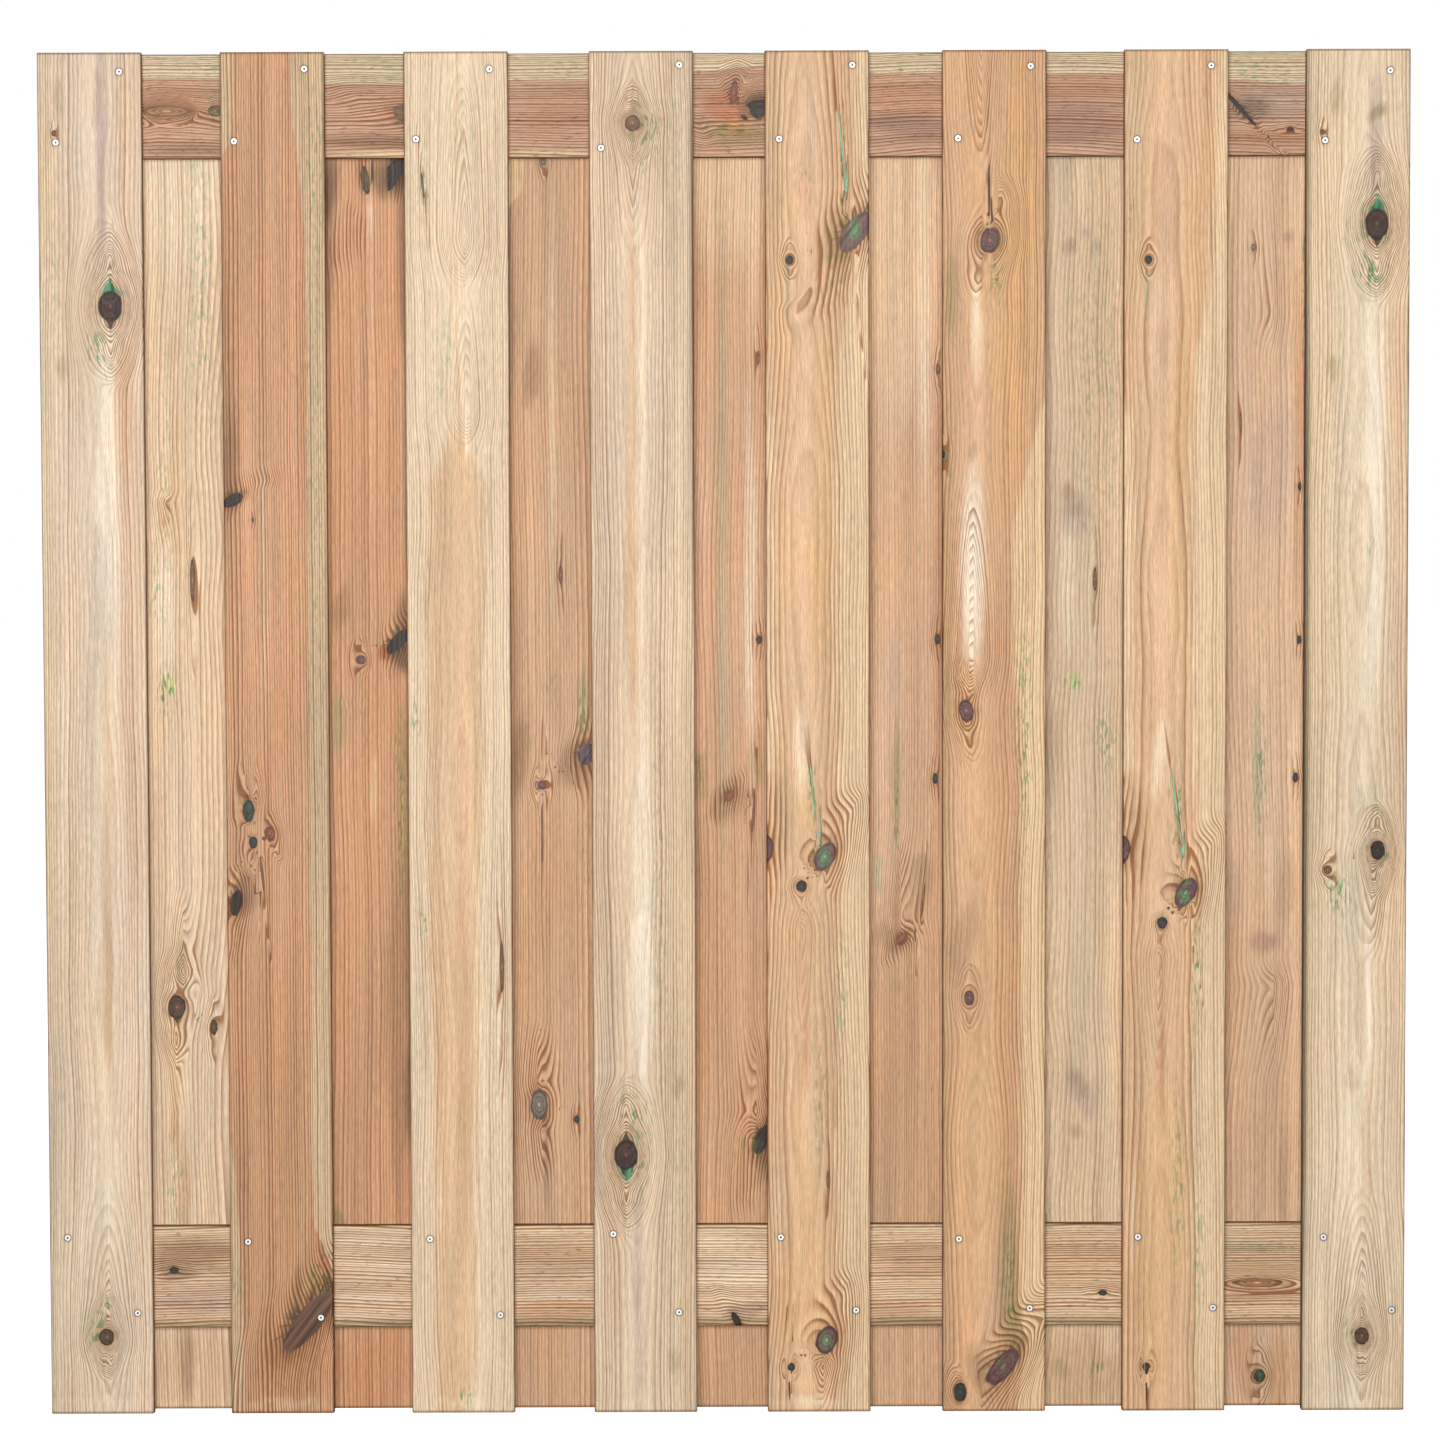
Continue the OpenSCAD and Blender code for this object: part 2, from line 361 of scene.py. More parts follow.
WOODS = {
    "black": "46302a", "brown": "7d5843", "red": "8d5440", "purple": "73504d", "grey": "7d7064", "moss": "56604a",
    "tan": "a87a52", "umber": "7c5c42", "ink": "3c3a36", "leaf": "a6e6bc", "plum": "5d4c54", "slash": "6f4f40", "char": "33261f", "bark": "5f4636",
}
TONES = {
    "white": "f3ead9", "cream": "efdfc2", "straw": "e2cba4", "sap": "e3cfa6", "grey": "b5a294", "mauve": "b09a92",
    "brown": "b88d64", "tan": "cfa67c", "rust": "b9754c", "orange": "d39a68", "dark": "5c4838", "olive": "978a5e",
    "pink": "dcb293", "umber": "7c5c42", "mist": "a9ab8c", "light": "e9cfab", "lime": "c6cf84", "gold": "dcb27a", "plum": "93706a",
    "ink": "4a4238", "clay": "c08a62", "moss": "8f9a6c",
}


def knot(u, v, ru, rv, wood="brown", lean=0, lift=1.0, tip=0, point=0, notch=0, fringe=0):
    return Knot(u, v, ru, rv, math.radians(lean), linear(WOODS[wood]), lift, tip, point, notch, fringe)


def mark(u, v, ru, rv, tone, strength=0.6):
    return Mark(u, v, ru, rv, linear(TONES[tone]), strength)


PLANKS = {
    "front_board_1": Plank(
        "pale_pine", "dfc9af", 2.8, (8, 46), (3, 500), 5, 0.62, 0.08, None,
        [knot(25, 1469, 16, 21, "black", 0, 1.4, 1.1, 0.6), knot(6, 103, 10, 12, "bark", 0, 2.0, 0, 0, 1.0),
         knot(-47, 1695, 3, 4, "brown", 0, 0.5)],
        [mark(13, 1700, 7, 200, "mauve", 0.65), mark(16, 1240, 15, 230, "white", 0.55), mark(13, 960, 13, 120, "cream", 0.5),
         mark(15, 720, 6, 420, "tan", 0.55), mark(44, 1200, 16, 600, "pink", 0.3), mark(0, 150, 60, 200, "cream", 0.35),
         mark(-60, 1100, 8, 900, "straw", 0.5), mark(-40, 1738, 6, 26, "olive", 0.35), mark(-40, 1384, 7, 16, "olive", 0.4),
         mark(12, 330, 8, 130, "cream", 0.5), mark(0, 16, 60, 5, "cream", 0.4), mark(40, 1330, 14, 70, "orange", 0.25)],
        [(-48, 1500, 16, 140, 0.35), (2, 1420, 10, 20, 0.8), (12, 1402, 20, 14, 0.7), (-16, 110, 20, 30, 0.5), (10, 150, 8, 16, 0.5),
         (-30, 700, 40, 400, 0.2)],
        [Arch(9, 120, 290, 20, -26), Arch(9, 85, -30, 20, -16), Arch(25, 1500, 1600, 16, -14), Arch(25, 1440, 1370, 16, -12)]),
    "front_board_2": Plank(
        "red_pine", "d3a681", 3.1, (-150, 70), (3, 900), 6, 0.85, 0.15,
        ("d3bc9a", [(1800, -51), (1690, -52), (1655, -72), (380, -72), (320, -60), (240, -56), (146, -51), (0, -50)],
         [(1800, 23), (1706, 27), (1636, 34), (1565, 41), (1495, 43), (860, 43), (360, 40), (250, 44), (200, 66), (0, 80)], 0.8),
        [knot(-56, 1214, 8, 15, "char", -62, 0.1, 0, 0, 0, 0.9), knot(-30, 1188, 2, 3, "moss", 0, 0.4),
         knot(-39, 804, 8, 15, "ink", 0, 0.6, 0, 0, 0, 0.4), knot(-33, 762, 6, 8, "ink", 0, 0.6), knot(-11, 774, 7, 9, "red", 20, 0.6),
         knot(-56, 682, 8, 18, "char", -10, 0.5, 0, 0, 0, 0.9), knot(34, 122, 17, 50, "slash", -38, 0.25, 0, 0, 0, 1.0),
         knot(-22, 722, 1.5, 26, "umber", 6, 0.3)],
        [mark(-16, 1180, 3, 90, "light", 0.6), mark(-14, 1000, 4, 110, "light", 0.5), mark(-58, 1270, 12, 70, "umber", 0.45),
         mark(8, 104, 9, 26, "ink", 0.8), mark(16, 150, 10, 40, "ink", 0.55), mark(58, 300, 9, 110, "plum", 0.6), mark(54, 220, 14, 60, "rust", 0.45), mark(62, 170, 8, 60, "ink", 0.5), mark(-44, 690, 16, 26, "dark", 0.35), mark(-8, 900, 24, 90, "orange", 0.25),
         mark(50, 160, 20, 30, "olive", 0.5), mark(-64, 1330, 6, 300, "umber", 0.3), mark(36, 1400, 6, 260, "clay", 0.3),
         mark(0, 300, 60, 330, "brown", 0.30), mark(20, 60, 44, 70, "brown", 0.5), mark(24, 300, 12, 200, "olive", 0.18),
         mark(0, 14, 60, 5, "cream", 0.3)],
        [(-39, 812, 10, 18, 0.35), (58, 1650, 14, 100, 0.5), (54, 1200, 12, 500, 0.5), (-58, 1330, 10, 60, 0.4), (-60, 170, 8, 30, 0.8),
         (56, 190, 16, 30, 1.2)],
        []),
    "front_board_3": Plank(
        "pale_pine", "dab892", 2.9, (2, 40), (4, 420), -6, 0.50, 0.08,
        ("e7d3b6", [(1800, 0), (1320, 0), (1230, -40), (1000, -43), (600, -40), (400, -36), (0, -36)],
         [(1800, 0), (1320, 0), (1230, 34), (1000, 33), (600, 26), (330, 20), (0, 12)], 9.0),
        [knot(54, 596, 3, 36, "umber", 0, 0.3), knot(-44, 1626, 1.6, 18, "moss", 6, 0.2)],
        [mark(2, 880, 7, 330, "pink", 0.6), mark(-44, 1626, 8, 26, "olive", 0.6), mark(12, 1560, 12, 120, "white", 0.5),
         mark(0, 420, 8, 380, "clay", 0.25), mark(-60, 900, 2, 600, "mist", 0.4), mark(14, 1420, 14, 50, "cream", 0.5),
         mark(38, 500, 16, 480, "straw", 0.4), mark(0, 14, 60, 5, "cream", 0.4)],
        [(-44, 1626, 7, 34, 1.0), (-58, 930, 5, 40, 1.0), (-51, 655, 8, 24, 1.3), (-20, 1400, 16, 60, 0.5), (10, 1690, 20, 60, 0.4),
         (2, 20, 12, 14, 1.2), (45, 350, 12, 300, 0.3)],
        [Arch(12, 1560, 1790, 24, -34), Arch(14, 1330, 1500, 20, -22)]),
    "front_board_4": Plank(
        "pale_pine", "dcc6ab", 2.8, (-10, 46), (3, 500), -5, 0.62, 0.08, None,
        [knot(-11, 1706, 10, 11, "brown", 180, 2.0, 0, 0, 1.0), knot(-25, 345, 16, 21, "black", 180, 1.4, 1.1, 0.6)],
        [mark(-15, 1260, 8, 330, "tan", 0.5), mark(-17, 1060, 7, 160, "brown", 0.35), mark(0, 760, 12, 170, "white", 0.55),
         mark(-4, 560, 14, 120, "white", 0.6), mark(0, 1380, 8, 200, "cream", 0.4), mark(-8, 124, 8, 170, "mauve", 0.65),
         mark(50, 900, 14, 800, "straw", 0.45), mark(44, 432, 8, 14, "olive", 0.4), mark(40, 70, 8, 18, "olive", 0.5),
         # the ink strip at u 67 along the right edge is painted shade of the side face and the gap beside it
         mark(-50, 1000, 12, 380, "grey", 0.25), mark(0, 180, 60, 220, "cream", 0.25), mark(-44, 250, 14, 140, "tan", 0.3), mark(0, 14, 60, 5, "cream", 0.3), mark(67, 1500, 3, 330, "ink", 0.5)],
        [(16, 1700, 16, 40, 0.8), (0, 1664, 10, 26, 0.8), (-14, 405, 22, 16, 0.9), (-2, 340, 10, 60, 0.5), (44, 320, 14, 200, 0.35),
         (20, 700, 12, 300, 0.5), (48, 1690, 14, 120, 0.3)],
        [Arch(-11, 1690, 1540, 20, -26), Arch(-11, 1722, 1830, 20, -16), Arch(-25, 315, 215, 16, -14), Arch(-25, 375, 440, 16, -12)]),
    "front_board_5": Plank(
        "pale_pine", "d9b48e", 2.8, (-16, 62), (3, 420), 7, 0.60, 0.08,
        ("e6cda8", [(1800, -90), (1360, -90), (1320, -57), (860, -57), (820, -90), (0, -90)],
         [(1800, 50), (1640, 52), (1560, 66), (1480, 44), (1400, 28), (1200, 23), (880, 25), (800, 34), (757, 38), (683, 30),
          (600, 25), (350, 25), (170, 27), (110, 36), (0, 31)], 7.0),
        [knot(50, 1563, 15, 32, "purple", -36, 0.2, 0, 0, 0, 0.7), knot(-36, 1527, 5, 6, "ink", 0, 1.0),
         knot(-70, 752, 11, 19, "purple", 0, 0.12), knot(9, 741, 13, 21, "purple", -30, 0.3, 0, 0, 0, 0.3),
         knot(-22, 702, 7, 8, "ink", 0, 1.1), knot(10, 96, 14, 20, "purple", -20, 0.3), knot(-37, 60, 5, 6, "ink", 0, 1.1),
         knot(12, 311, 2, 12, "umber", 0, 0.2), knot(34, 1660, 1.3, 70, "leaf", 6, 0.1), knot(-7, 830, 1.4, 40, "leaf", 6, 0.1),
         knot(-40, 42, 1.2, 28, "ink", 2, 0.1)],
        [mark(-16, 1650, 14, 90, "pink", 0.5), mark(-18, 1440, 10, 90, "pink", 0.4), mark(-20, 1100, 7, 130, "pink", 0.5),
         mark(-37, 1500, 4, 40, "mist", 0.6), mark(-18, 560, 3, 90, "clay", 0.5), mark(-18, 470, 4, 60, "rust", 0.4),
         mark(-55, 250, 5, 70, "cream", 0.4), mark(8, 1200, 14, 260, "gold", 0.35), mark(-20, 870, 12, 50, "cream", 0.5),
         mark(-20, 200, 40, 110, "gold", 0.3), mark(-44, 800, 16, 60, "olive", 0.22), mark(26, 1540, 22, 40, "olive", 0.4),
         mark(0, 14, 60, 5, "cream", 0.4), mark(-52, 1700, 14, 200, "mist", 0.2)],
        [(34, 1640, 5, 60, 1.4), (-18, 1640, 12, 30, 0.5), (-7, 829, 5, 40, 1.4), (9, 741, 10, 16, 1.4), (50, 1566, 8, 14, 1.6),
         (10, 96, 8, 12, 1.2), (2, 420, 8, 100, 0.7), (20, 1500, 20, 60, 0.5), (32, 560, 8, 80, 0.7)],
        [Arch(-20, 640, 480, 12, -22), Arch(6, 60, 0, 14, -16)]),
    "front_board_6": Plank(
        "golden_pine", "d4aa83", 3.6, (-22, 34), (5, 300), -7, 0.66, 0.08,
        ("e9cea4", [(1800, -90), (0, -90)],
         [(1800, 90), (1420, 90), (1320, 60), (1180, 26), (1040, 26), (960, 30), (880, 34), (480, 36), (240, 36), (150, 33),
          (95, 47), (45, 35), (0, 33)], 4.0),
        [knot(-6, 1552, 13, 17, "purple", -15, 1.2, 0, 0, 0, 0.2), knot(-68, 1272, 4, 6, "ink", 0, 0.8),
         knot(-37, 934, 10, 15, "purple", 8, 1.2), knot(-33, 553, 7, 10, "purple", 0, 1.0),
         knot(12, 60, 14, 30, "purple", -40, 0.6, 0, 0, 0, 0.4), knot(-45, 26, 9, 13, "ink", 0, 1.0),
         knot(-7, 1618, 1.4, 34, "ink", 0, 0.1)],
        [mark(-24, 1470, 6, 60, "cream", 0.6), mark(-22, 1400, 7, 60, "cream", 0.5), mark(-27, 1272, 6, 12, "umber", 0.6),
         mark(-30, 1110, 17, 130, "white", 0.75), mark(-58, 1470, 10, 70, "olive", 0.5), mark(-64, 700, 5, 700, "olive", 0.4),
         mark(30, 1500, 30, 260, "gold", 0.5), mark(8, 900, 14, 200, "clay", 0.25), mark(20, 200, 12, 110, "olive", 0.55),
         mark(34, 110, 12, 40, "olive", 0.6), mark(-20, 1320, 10, 90, "pink", 0.4), mark(0, 640, 40, 260, "tan", 0.3),
         mark(-40, 620, 20, 40, "umber", 0.25), mark(-24, 60, 14, 34, "dark", 0.3), mark(-20, 350, 40, 160, "gold", 0.25)],
        [(20, 170, 10, 60, 1.0), (12, 62, 8, 14, 0.7), (2, 1500, 8, 30, 0.9), (40, 900, 10, 160, 1.0), (-60, 1270, 8, 60, 0.5)],
        [Arch(-18, 1810, 1640, 14, -40), Arch(-30, 1010, 1240, 18, -64), Arch(-36, 915, 840, 14, -10)]),
    "front_board_7": Plank(
        "pale_pine", "dab48e", 2.8, (-16, 62), (3, 420), 7, 0.60, 0.08,
        ("e6cda8", [(1800, -90), (1360, -90), (1320, -57), (860, -57), (820, -90), (0, -90)],
         [(1800, 52), (1640, 52), (1480, 44), (1400, 28), (1200, 23), (880, 25), (740, 34), (700, 40), (640, 30),
          (600, 26), (350, 25), (0, 28)], 7.0),
        [knot(-36, 1526, 5, 6, "ink", 0, 1.0), knot(-69, 750, 11, 19, "purple", 0, 0.12),
         knot(15, 692, 13, 22, "purple", -28, 0.3, 0, 0, 0, 0.3), knot(-16, 652, 7, 8, "ink", 0, 1.1),
         knot(-36, 59, 5, 6, "ink", 0, 1.1), knot(3, 800, 1.4, 60, "leaf", 8, 0.1), knot(-36, 40, 1.2, 28, "ink", 2, 0.1)],
        [mark(-16, 1650, 14, 90, "pink", 0.5), mark(-18, 1440, 10, 90, "pink", 0.4), mark(-20, 1100, 7, 130, "pink", 0.5),
         mark(-37, 1496, 4, 36, "mist", 0.6), mark(-18, 540, 3, 90, "clay", 0.5), mark(-18, 450, 4, 60, "rust", 0.4),
         mark(8, 1200, 14, 260, "gold", 0.35), mark(-20, 870, 12, 50, "cream", 0.5), mark(-44, 800, 16, 60, "olive", 0.2),
         mark(-20, 250, 40, 200, "gold", 0.3), mark(-55, 250, 5, 70, "cream", 0.4), mark(-52, 1700, 14, 200, "mist", 0.2)],
        [(-60, 1590, 8, 30, 0.6), (3, 800, 6, 70, 1.4), (15, 692, 10, 16, 1.4), (30, 600, 8, 100, 0.8), (6, 300, 8, 120, 0.8),
         (34, 200, 6, 160, 0.8)],
        [Arch(-20, 600, 440, 12, -22)]),
    "front_board_8": Plank(
        "pale_pine", "e3cdae", 2.8, (8, 46), (3, 500), 5, 0.62, 0.08, None,
        [knot(25, 1572, 16, 21, "black", 0, 1.4, 1.1, 0.6), knot(-47, 1692, 3, 4, "brown", 0, 0.5),
         knot(30, 748, 10, 13, "char", 0, 1.7, 0, 0, 0.4), knot(-36, 722, 6, 6, "brown", 0, 0.8),
         knot(12, 100, 10, 12, "bark", 0, 2.0, 0, 0, 1.0)],
        [mark(22, 1690, 8, 90, "mauve", 0.6), mark(24, 1714, 13, 10, "olive", 0.7), mark(-32, 1735, 8, 20, "olive", 0.4),
         mark(24, 1240, 14, 260, "white", 0.5), mark(-34, 1383, 8, 16, "olive", 0.4), mark(18, 520, 5, 170, "white", 0.45),
         # the ink strip at u -67 along the left edge is painted shade of the side face and the gap beside it, and the
         # olive strip at u -64 is partly the wood's own tint and partly painted shade
         mark(20, 340, 8, 110, "tan", 0.6), mark(56, 900, 8, 700, "pink", 0.3), mark(-64, 900, 4, 880, "olive", 0.55),
         mark(0, 200, 60, 300, "cream", 0.35), mark(0, 440, 8, 20, "olive", 0.3), mark(0, 14, 60, 5, "cream", 0.4), mark(50, 1380, 14, 90, "orange", 0.2), mark(-67, 900, 3, 900, "ink", 0.7)],
        [(8, 1520, 12, 30, 0.8), (16, 1504, 20, 14, 0.7), (-20, 1560, 12, 30, 0.4), (-20, 690, 16, 30, 1.2), (20, 800, 22, 30, 0.4),
         (52, 740, 10, 30, 0.5), (-10, 110, 16, 30, 0.5), (20, 1150, 6, 12, 0.9), (-30, 1300, 26, 300, 0.25)],
        [Arch(25, 1603, 1700, 16, -14), Arch(25, 1543, 1470, 16, -12), Arch(24, 730, 600, 16, -24), Arch(13, 118, 290, 20, -26), Arch(13, 82, -30, 20, -16)]),
    # wide marks across the back boards make them lighter near the top and darker towards the foot
    "back_board_1": Plank(
        "tan_pine", "e0c8aa", 3.6, (80, 60), (7, 420), 12, 0.52, 0.08, None,
        [knot(6, 1108, 3.5, 28, "brown", 0, 0.5), knot(-20, 540, 12, 16, "bark", 0, 1.3, 0, 0.5, 0.2),
         knot(29, 513, 5, 10, "bark", 0, 0.6, 0, 0.3)],
        [mark(-14, 1250, 7, 120, "gold", 0.35), mark(-28, 1180, 6, 24, "tan", 0.6), mark(-24, 400, 5, 60, "brown", 0.7),
         mark(-10, 1640, 60, 120, "cream", 0.5), mark(-28, 1050, 12, 70, "white", 0.5), mark(-15, 620, 5, 40, "olive", 0.5),
         mark(-12, 280, 9, 90, "tan", 0.6), mark(0, 50, 60, 70, "brown", 0.35), mark(-10, 60, 9, 50, "umber", 0.5),
         mark(-22, 450, 22, 60, "straw", 0.5), mark(-16, 1420, 10, 26, "tan", 0.4), mark(-21, 972, 7, 11, "lime", 0.75)],
        [(-30, 960, 12, 30, 1.4), (20, 1500, 18, 260, 0.6), (-30, 1250, 12, 200, 0.6), (-44, 1090, 6, 60, 0.8), (-24, 300, 12, 60, 0.8)],
        [Arch(-12, 590, 700, 14, -30), Arch(-22, 500, 400, 14, -18), Arch(-30, 1210, 1150, 12, -12)]),
    "back_board_2": Plank(
        "tan_pine", "cea07b", 3.9, (-140, 80), (4, 700), 0, 0.60, 0.08, None,
        [knot(-1, 1634, 6, 19, "bark", 8, 0.1, 0, 0, 0, 0.5), knot(34, 1640, 11, 30, "char", -34, 0.1, 0, 0, 0, 1.0),
         knot(38, 1026, 9, 22, "char", -44, 0.3, 0, 0, 0, 1.0), knot(-11, 1002, 6, 6, "purple", 0, 1.0),
         knot(24, 1634, 2, 8, "umber", 0, 0.3)],
        [mark(44, 1648, 20, 36, "ink", 0.8), mark(18, 1640, 12, 26, "dark", 0.6), mark(-50, 1622, 12, 36, "ink", 0.6), mark(-52, 1540, 8, 120, "dark", 0.4), mark(50, 1540, 10, 120, "dark", 0.45), mark(-2, 1670, 50, 10, "dark", 0.4), mark(52, 1300, 6, 220, "umber", 0.4), mark(3, 1580, 2.5, 34, "white", 0.7), mark(4, 1350, 3, 200, "pink", 0.45),
         mark(20, 1010, 10, 9, "rust", 0.9), mark(44, 1060, 10, 36, "dark", 0.5), mark(42, 1010, 16, 22, "ink", 0.7), mark(-40, 1060, 12, 26, "umber", 0.35),
         mark(40, 800, 8, 140, "olive", 0.6), mark(-40, 900, 8, 40, "moss", 0.5), mark(-44, 240, 10, 20, "olive", 0.6),
         mark(36, 500, 18, 240, "umber", 0.4), mark(52, 700, 8, 260, "dark", 0.4), mark(48, 420, 6, 70, "ink", 0.5), mark(2, 820, 6, 40, "light", 0.4), mark(0, 40, 60, 60, "rust", 0.25)],
        [(36, 1040, 10, 12, 0.7), (40, 800, 10, 120, 0.8), (-10, 960, 4, 90, 0.6), (-36, 240, 10, 12, 0.8), (0, 1634, 8, 18, 0.6)],
        []),
    "back_board_3": Plank(
        "tan_pine", "cca785", 4.0, (150, 70), (5, 600), 0, 0.60, 0.08,
        ("d9bd92", [(1800, -32), (1620, -36), (1560, -90), (0, -90)], [(1800, 90), (0, 90)], 3.0),
        [knot(-8, 1658, 4, 5, "grey", 0, 0.9), knot(12, 1114, 3, 12, "brown", 0, 0.3), knot(46, 876, 12, 15, "plum", -30, 0.3, 0, 0, 0, 0.9),
         knot(-14, 835, 6, 6, "purple", 0, 1.1), knot(-20, 408, 12, 21, "grey", 0, 0.12), knot(30, 388, 4, 5, "ink", 0, 0.3),
         knot(-14, 770, 1.2, 40, "umber", 0, 0.2)],
        [mark(2, 1320, 5, 330, "light", 0.5), mark(-24, 1355, 12, 40, "umber", 0.45), mark(-54, 1480, 6, 170, "dark", 0.4), mark(-50, 1000, 8, 200, "umber", 0.25), mark(-56, 1560, 5, 300, "grey", 0.5),
         mark(-44, 880, 12, 50, "umber", 0.5), mark(30, 860, 24, 30, "umber", 0.45), mark(44, 930, 6, 40, "moss", 0.5),
         mark(0, 880, 10, 40, "pink", 0.4), mark(-2, 620, 50, 160, "brown", 0.25), mark(-12, 340, 3, 50, "umber", 0.5)],
        [(42, 930, 8, 30, 1.4), (-4, 970, 8, 20, 0.6), (44, 700, 10, 120, 0.4)],
        [Arch(-20, 440, 520, 14, -20), Arch(-18, 370, 300, 12, -14)]),
    "back_board_4": Plank(
        "tan_pine", "cca380", 3.4, (-130, 80), (5, 600), 0, 0.50, 0.08,
        ("e3c9a0", [(1800, -54), (1500, -56), (1400, -90), (0, -90)], [(1800, 90), (0, 90)], 4.0),
        [knot(38, 1027, 4, 6, "ink", 0, 0.3), knot(-2, 820, 6, 9, "red", -40, 0.2, 0, 0, 0, 0.6), knot(38, 1400, 2, 10, "umber", 0, 0.4),
         knot(30, 795, 1.6, 26, "umber", -4, 0.3), knot(40, 360, 9, 22, "char", -20, 0.25, 0, 0, 0, 1.0)],
        [mark(26, 1100, 7, 230, "cream", 0.6), mark(-10, 1150, 7, 420, "mist", 0.45), mark(-40, 1130, 12, 300, "pink", 0.5),
         mark(52, 1500, 4, 300, "rust", 0.5), mark(30, 1560, 8, 180, "light", 0.4), mark(0, 1650, 60, 130, "light", 0.5),
         mark(-46, 850, 16, 34, "olive", 0.55), mark(0, 815, 26, 26, "umber", 0.3), mark(36, 880, 14, 34, "olive", 0.4),
         mark(44, 330, 12, 30, "dark", 0.5), mark(-40, 600, 16, 200, "brown", 0.4), mark(10, 360, 10, 60, "orange", 0.3)],
        [(-40, 861, 10, 22, 0.8), (20, 350, 16, 20, 0.8)],
        [Arch(34, 400, 520, 18, -30)]),
    "back_board_5": Plank(
        "tan_pine", "d2ac8a", 3.4, (150, 70), (3, 900), 0, 0.52, 0.08,
        ("e6cda6", [(1800, -46), (1380, -48), (1330, -90), (0, -90)], [(1800, 90), (0, 90)], 4.0),
        [knot(44, 1384, 3, 7, "umber", 0, 0.5), knot(43, 1027, 4, 7, "ink", 0, 0.3), knot(40, 842, 4, 7, "ink", 0, 0.3),
         knot(-4, 628, 6, 10, "red", -40, 0.2, 0, 0, 0, 0.6), knot(24, 680, 1.4, 24, "umber", -6, 0.3)],
        [mark(46, 1200, 4, 560, "clay", 0.6), mark(26, 1500, 6, 280, "cream", 0.5), mark(26, 1000, 8, 130, "pink", 0.5),
         mark(-10, 830, 5, 90, "olive", 0.7), mark(-36, 700, 8, 26, "mist", 0.6), mark(-16, 626, 26, 16, "umber", 0.4),
         mark(24, 700, 14, 40, "umber", 0.3), mark(0, 1560, 60, 240, "light", 0.5), mark(0, 420, 60, 240, "brown", 0.4),
         mark(-20, 1000, 10, 60, "grey", 0.3), mark(20, 730, 10, 20, "olive", 0.4)],
        [(-12, 800, 4, 80, 0.9), (-40, 1130, 6, 60, 0.5)],
        [Arch(-4, 660, 780, 20, -24)]),
    "back_board_6": Plank(
        "tan_pine", "d8be9e", 4.4, (-110, 80), (9, 260), -6, 0.46, 0.08, None,
        [knot(16, 1106, 3, 16, "brown", 0, 0.5)],
        [mark(-20, 1090, 10, 90, "cream", 0.5), mark(-17, 1549, 9, 10, "plum", 0.45), mark(4, 1560, 7, 8, "grey", 0.6), mark(18, 1546, 8, 9, "grey", 0.6), mark(-20, 1222, 9, 14, "umber", 0.45), mark(-14, 1200, 12, 10, "umber", 0.4), mark(-4, 436, 11, 18, "umber", 0.5), mark(-8, 368, 8, 10, "umber", 0.35), mark(-29, 50, 12, 12, "moss", 0.5), mark(-10, 1190, 22, 30, "grey", 0.5), mark(0, 432, 24, 30, "grey", 0.5),
         mark(-44, 1060, 12, 300, "mauve", 0.25), mark(-46, 860, 16, 60, "umber", 0.25), mark(40, 500, 16, 300, "straw", 0.4),
         mark(-6, 560, 10, 120, "mist", 0.35), mark(-20, 190, 14, 10, "orange", 0.5), mark(0, 50, 60, 60, "brown", 0.45),
         mark(0, 1700, 60, 60, "mist", 0.3), mark(-11, 969, 7, 12, "lime", 0.7)],
        [(-16, 970, 12, 12, 1.2), (30, 890, 14, 40, 0.9), (20, 1380, 40, 300, 0.4), (-50, 700, 20, 400, 0.3), (-46, 180, 10, 80, 0.9),
         (20, 50, 12, 16, 1.0)],
        []),
    "back_board_7": Plank(
        "tan_pine", "d7b595", 4.0, (-110, 80), (5, 420), 0, 0.46, 0.08,
        ("e2caa0", [(1800, -40), (1330, -44), (1280, -90), (0, -90)], [(1800, 52), (1560, 56), (1500, 90), (0, 90)], 4.0),
        [knot(-14, 1543, 3, 5, "grey", 0, 0.4), knot(48, 1228, 2.5, 6, "ink", 0, 0.4),
         knot(-30, 1312, 1.6, 14, "umber", 0, 0.2), knot(48, 1025, 3, 6, "ink", 0, 0.3), knot(44, 842, 4, 7, "ink", 0, 0.3),
         knot(-1, 40, 8, 9, "ink", 0, 1.1, 0, 0, 0, 0.6)],
        [mark(36, 1559, 9, 9, "plum", 0.5), mark(44, 1300, 5, 200, "clay", 0.6), mark(46, 1620, 10, 90, "light", 0.5), mark(10, 1250, 30, 100, "mauve", 0.35),
         mark(-6, 832, 6, 90, "mist", 0.6), mark(4, 632, 20, 14, "plum", 0.5), mark(-36, 690, 12, 40, "grey", 0.5),
         mark(-40, 620, 14, 120, "brown", 0.35), mark(34, 690, 12, 50, "umber", 0.25), mark(0, 480, 60, 220, "brown", 0.25),
         mark(30, 300, 8, 90, "umber", 0.35), mark(-20, 60, 14, 60, "clay", 0.5), mark(26, 60, 16, 60, "brown", 0.5),
         mark(40, 880, 8, 60, "light", 0.5)],
        [(56, 1500, 5, 90, 1.6), (-2, 850, 6, 60, 0.8), (0, 90, 5, 40, 1.6), (-4, 900, 16, 200, 0.3)],
        [Arch(10, 1460, 1640, 24, -12), Arch(16, 560, 440, 24, -20)]),
    "top_rail": Plank(
        "rail_pine", "c5a085", 3.2, (-130, 60), (6, 300), 0, 0.95, 0.45,
        ("dbcdae", [(1800, -90), (0, -90)],
         [(1800, 24), (1663, 25), (1561, 32), (1424, 39), (1186, 41), (1090, 41), (953, 52), (860, 42), (722, 33), (617, 34),
          (480, 28), (376, 29), (240, 36), (0, 36)], 1.0),
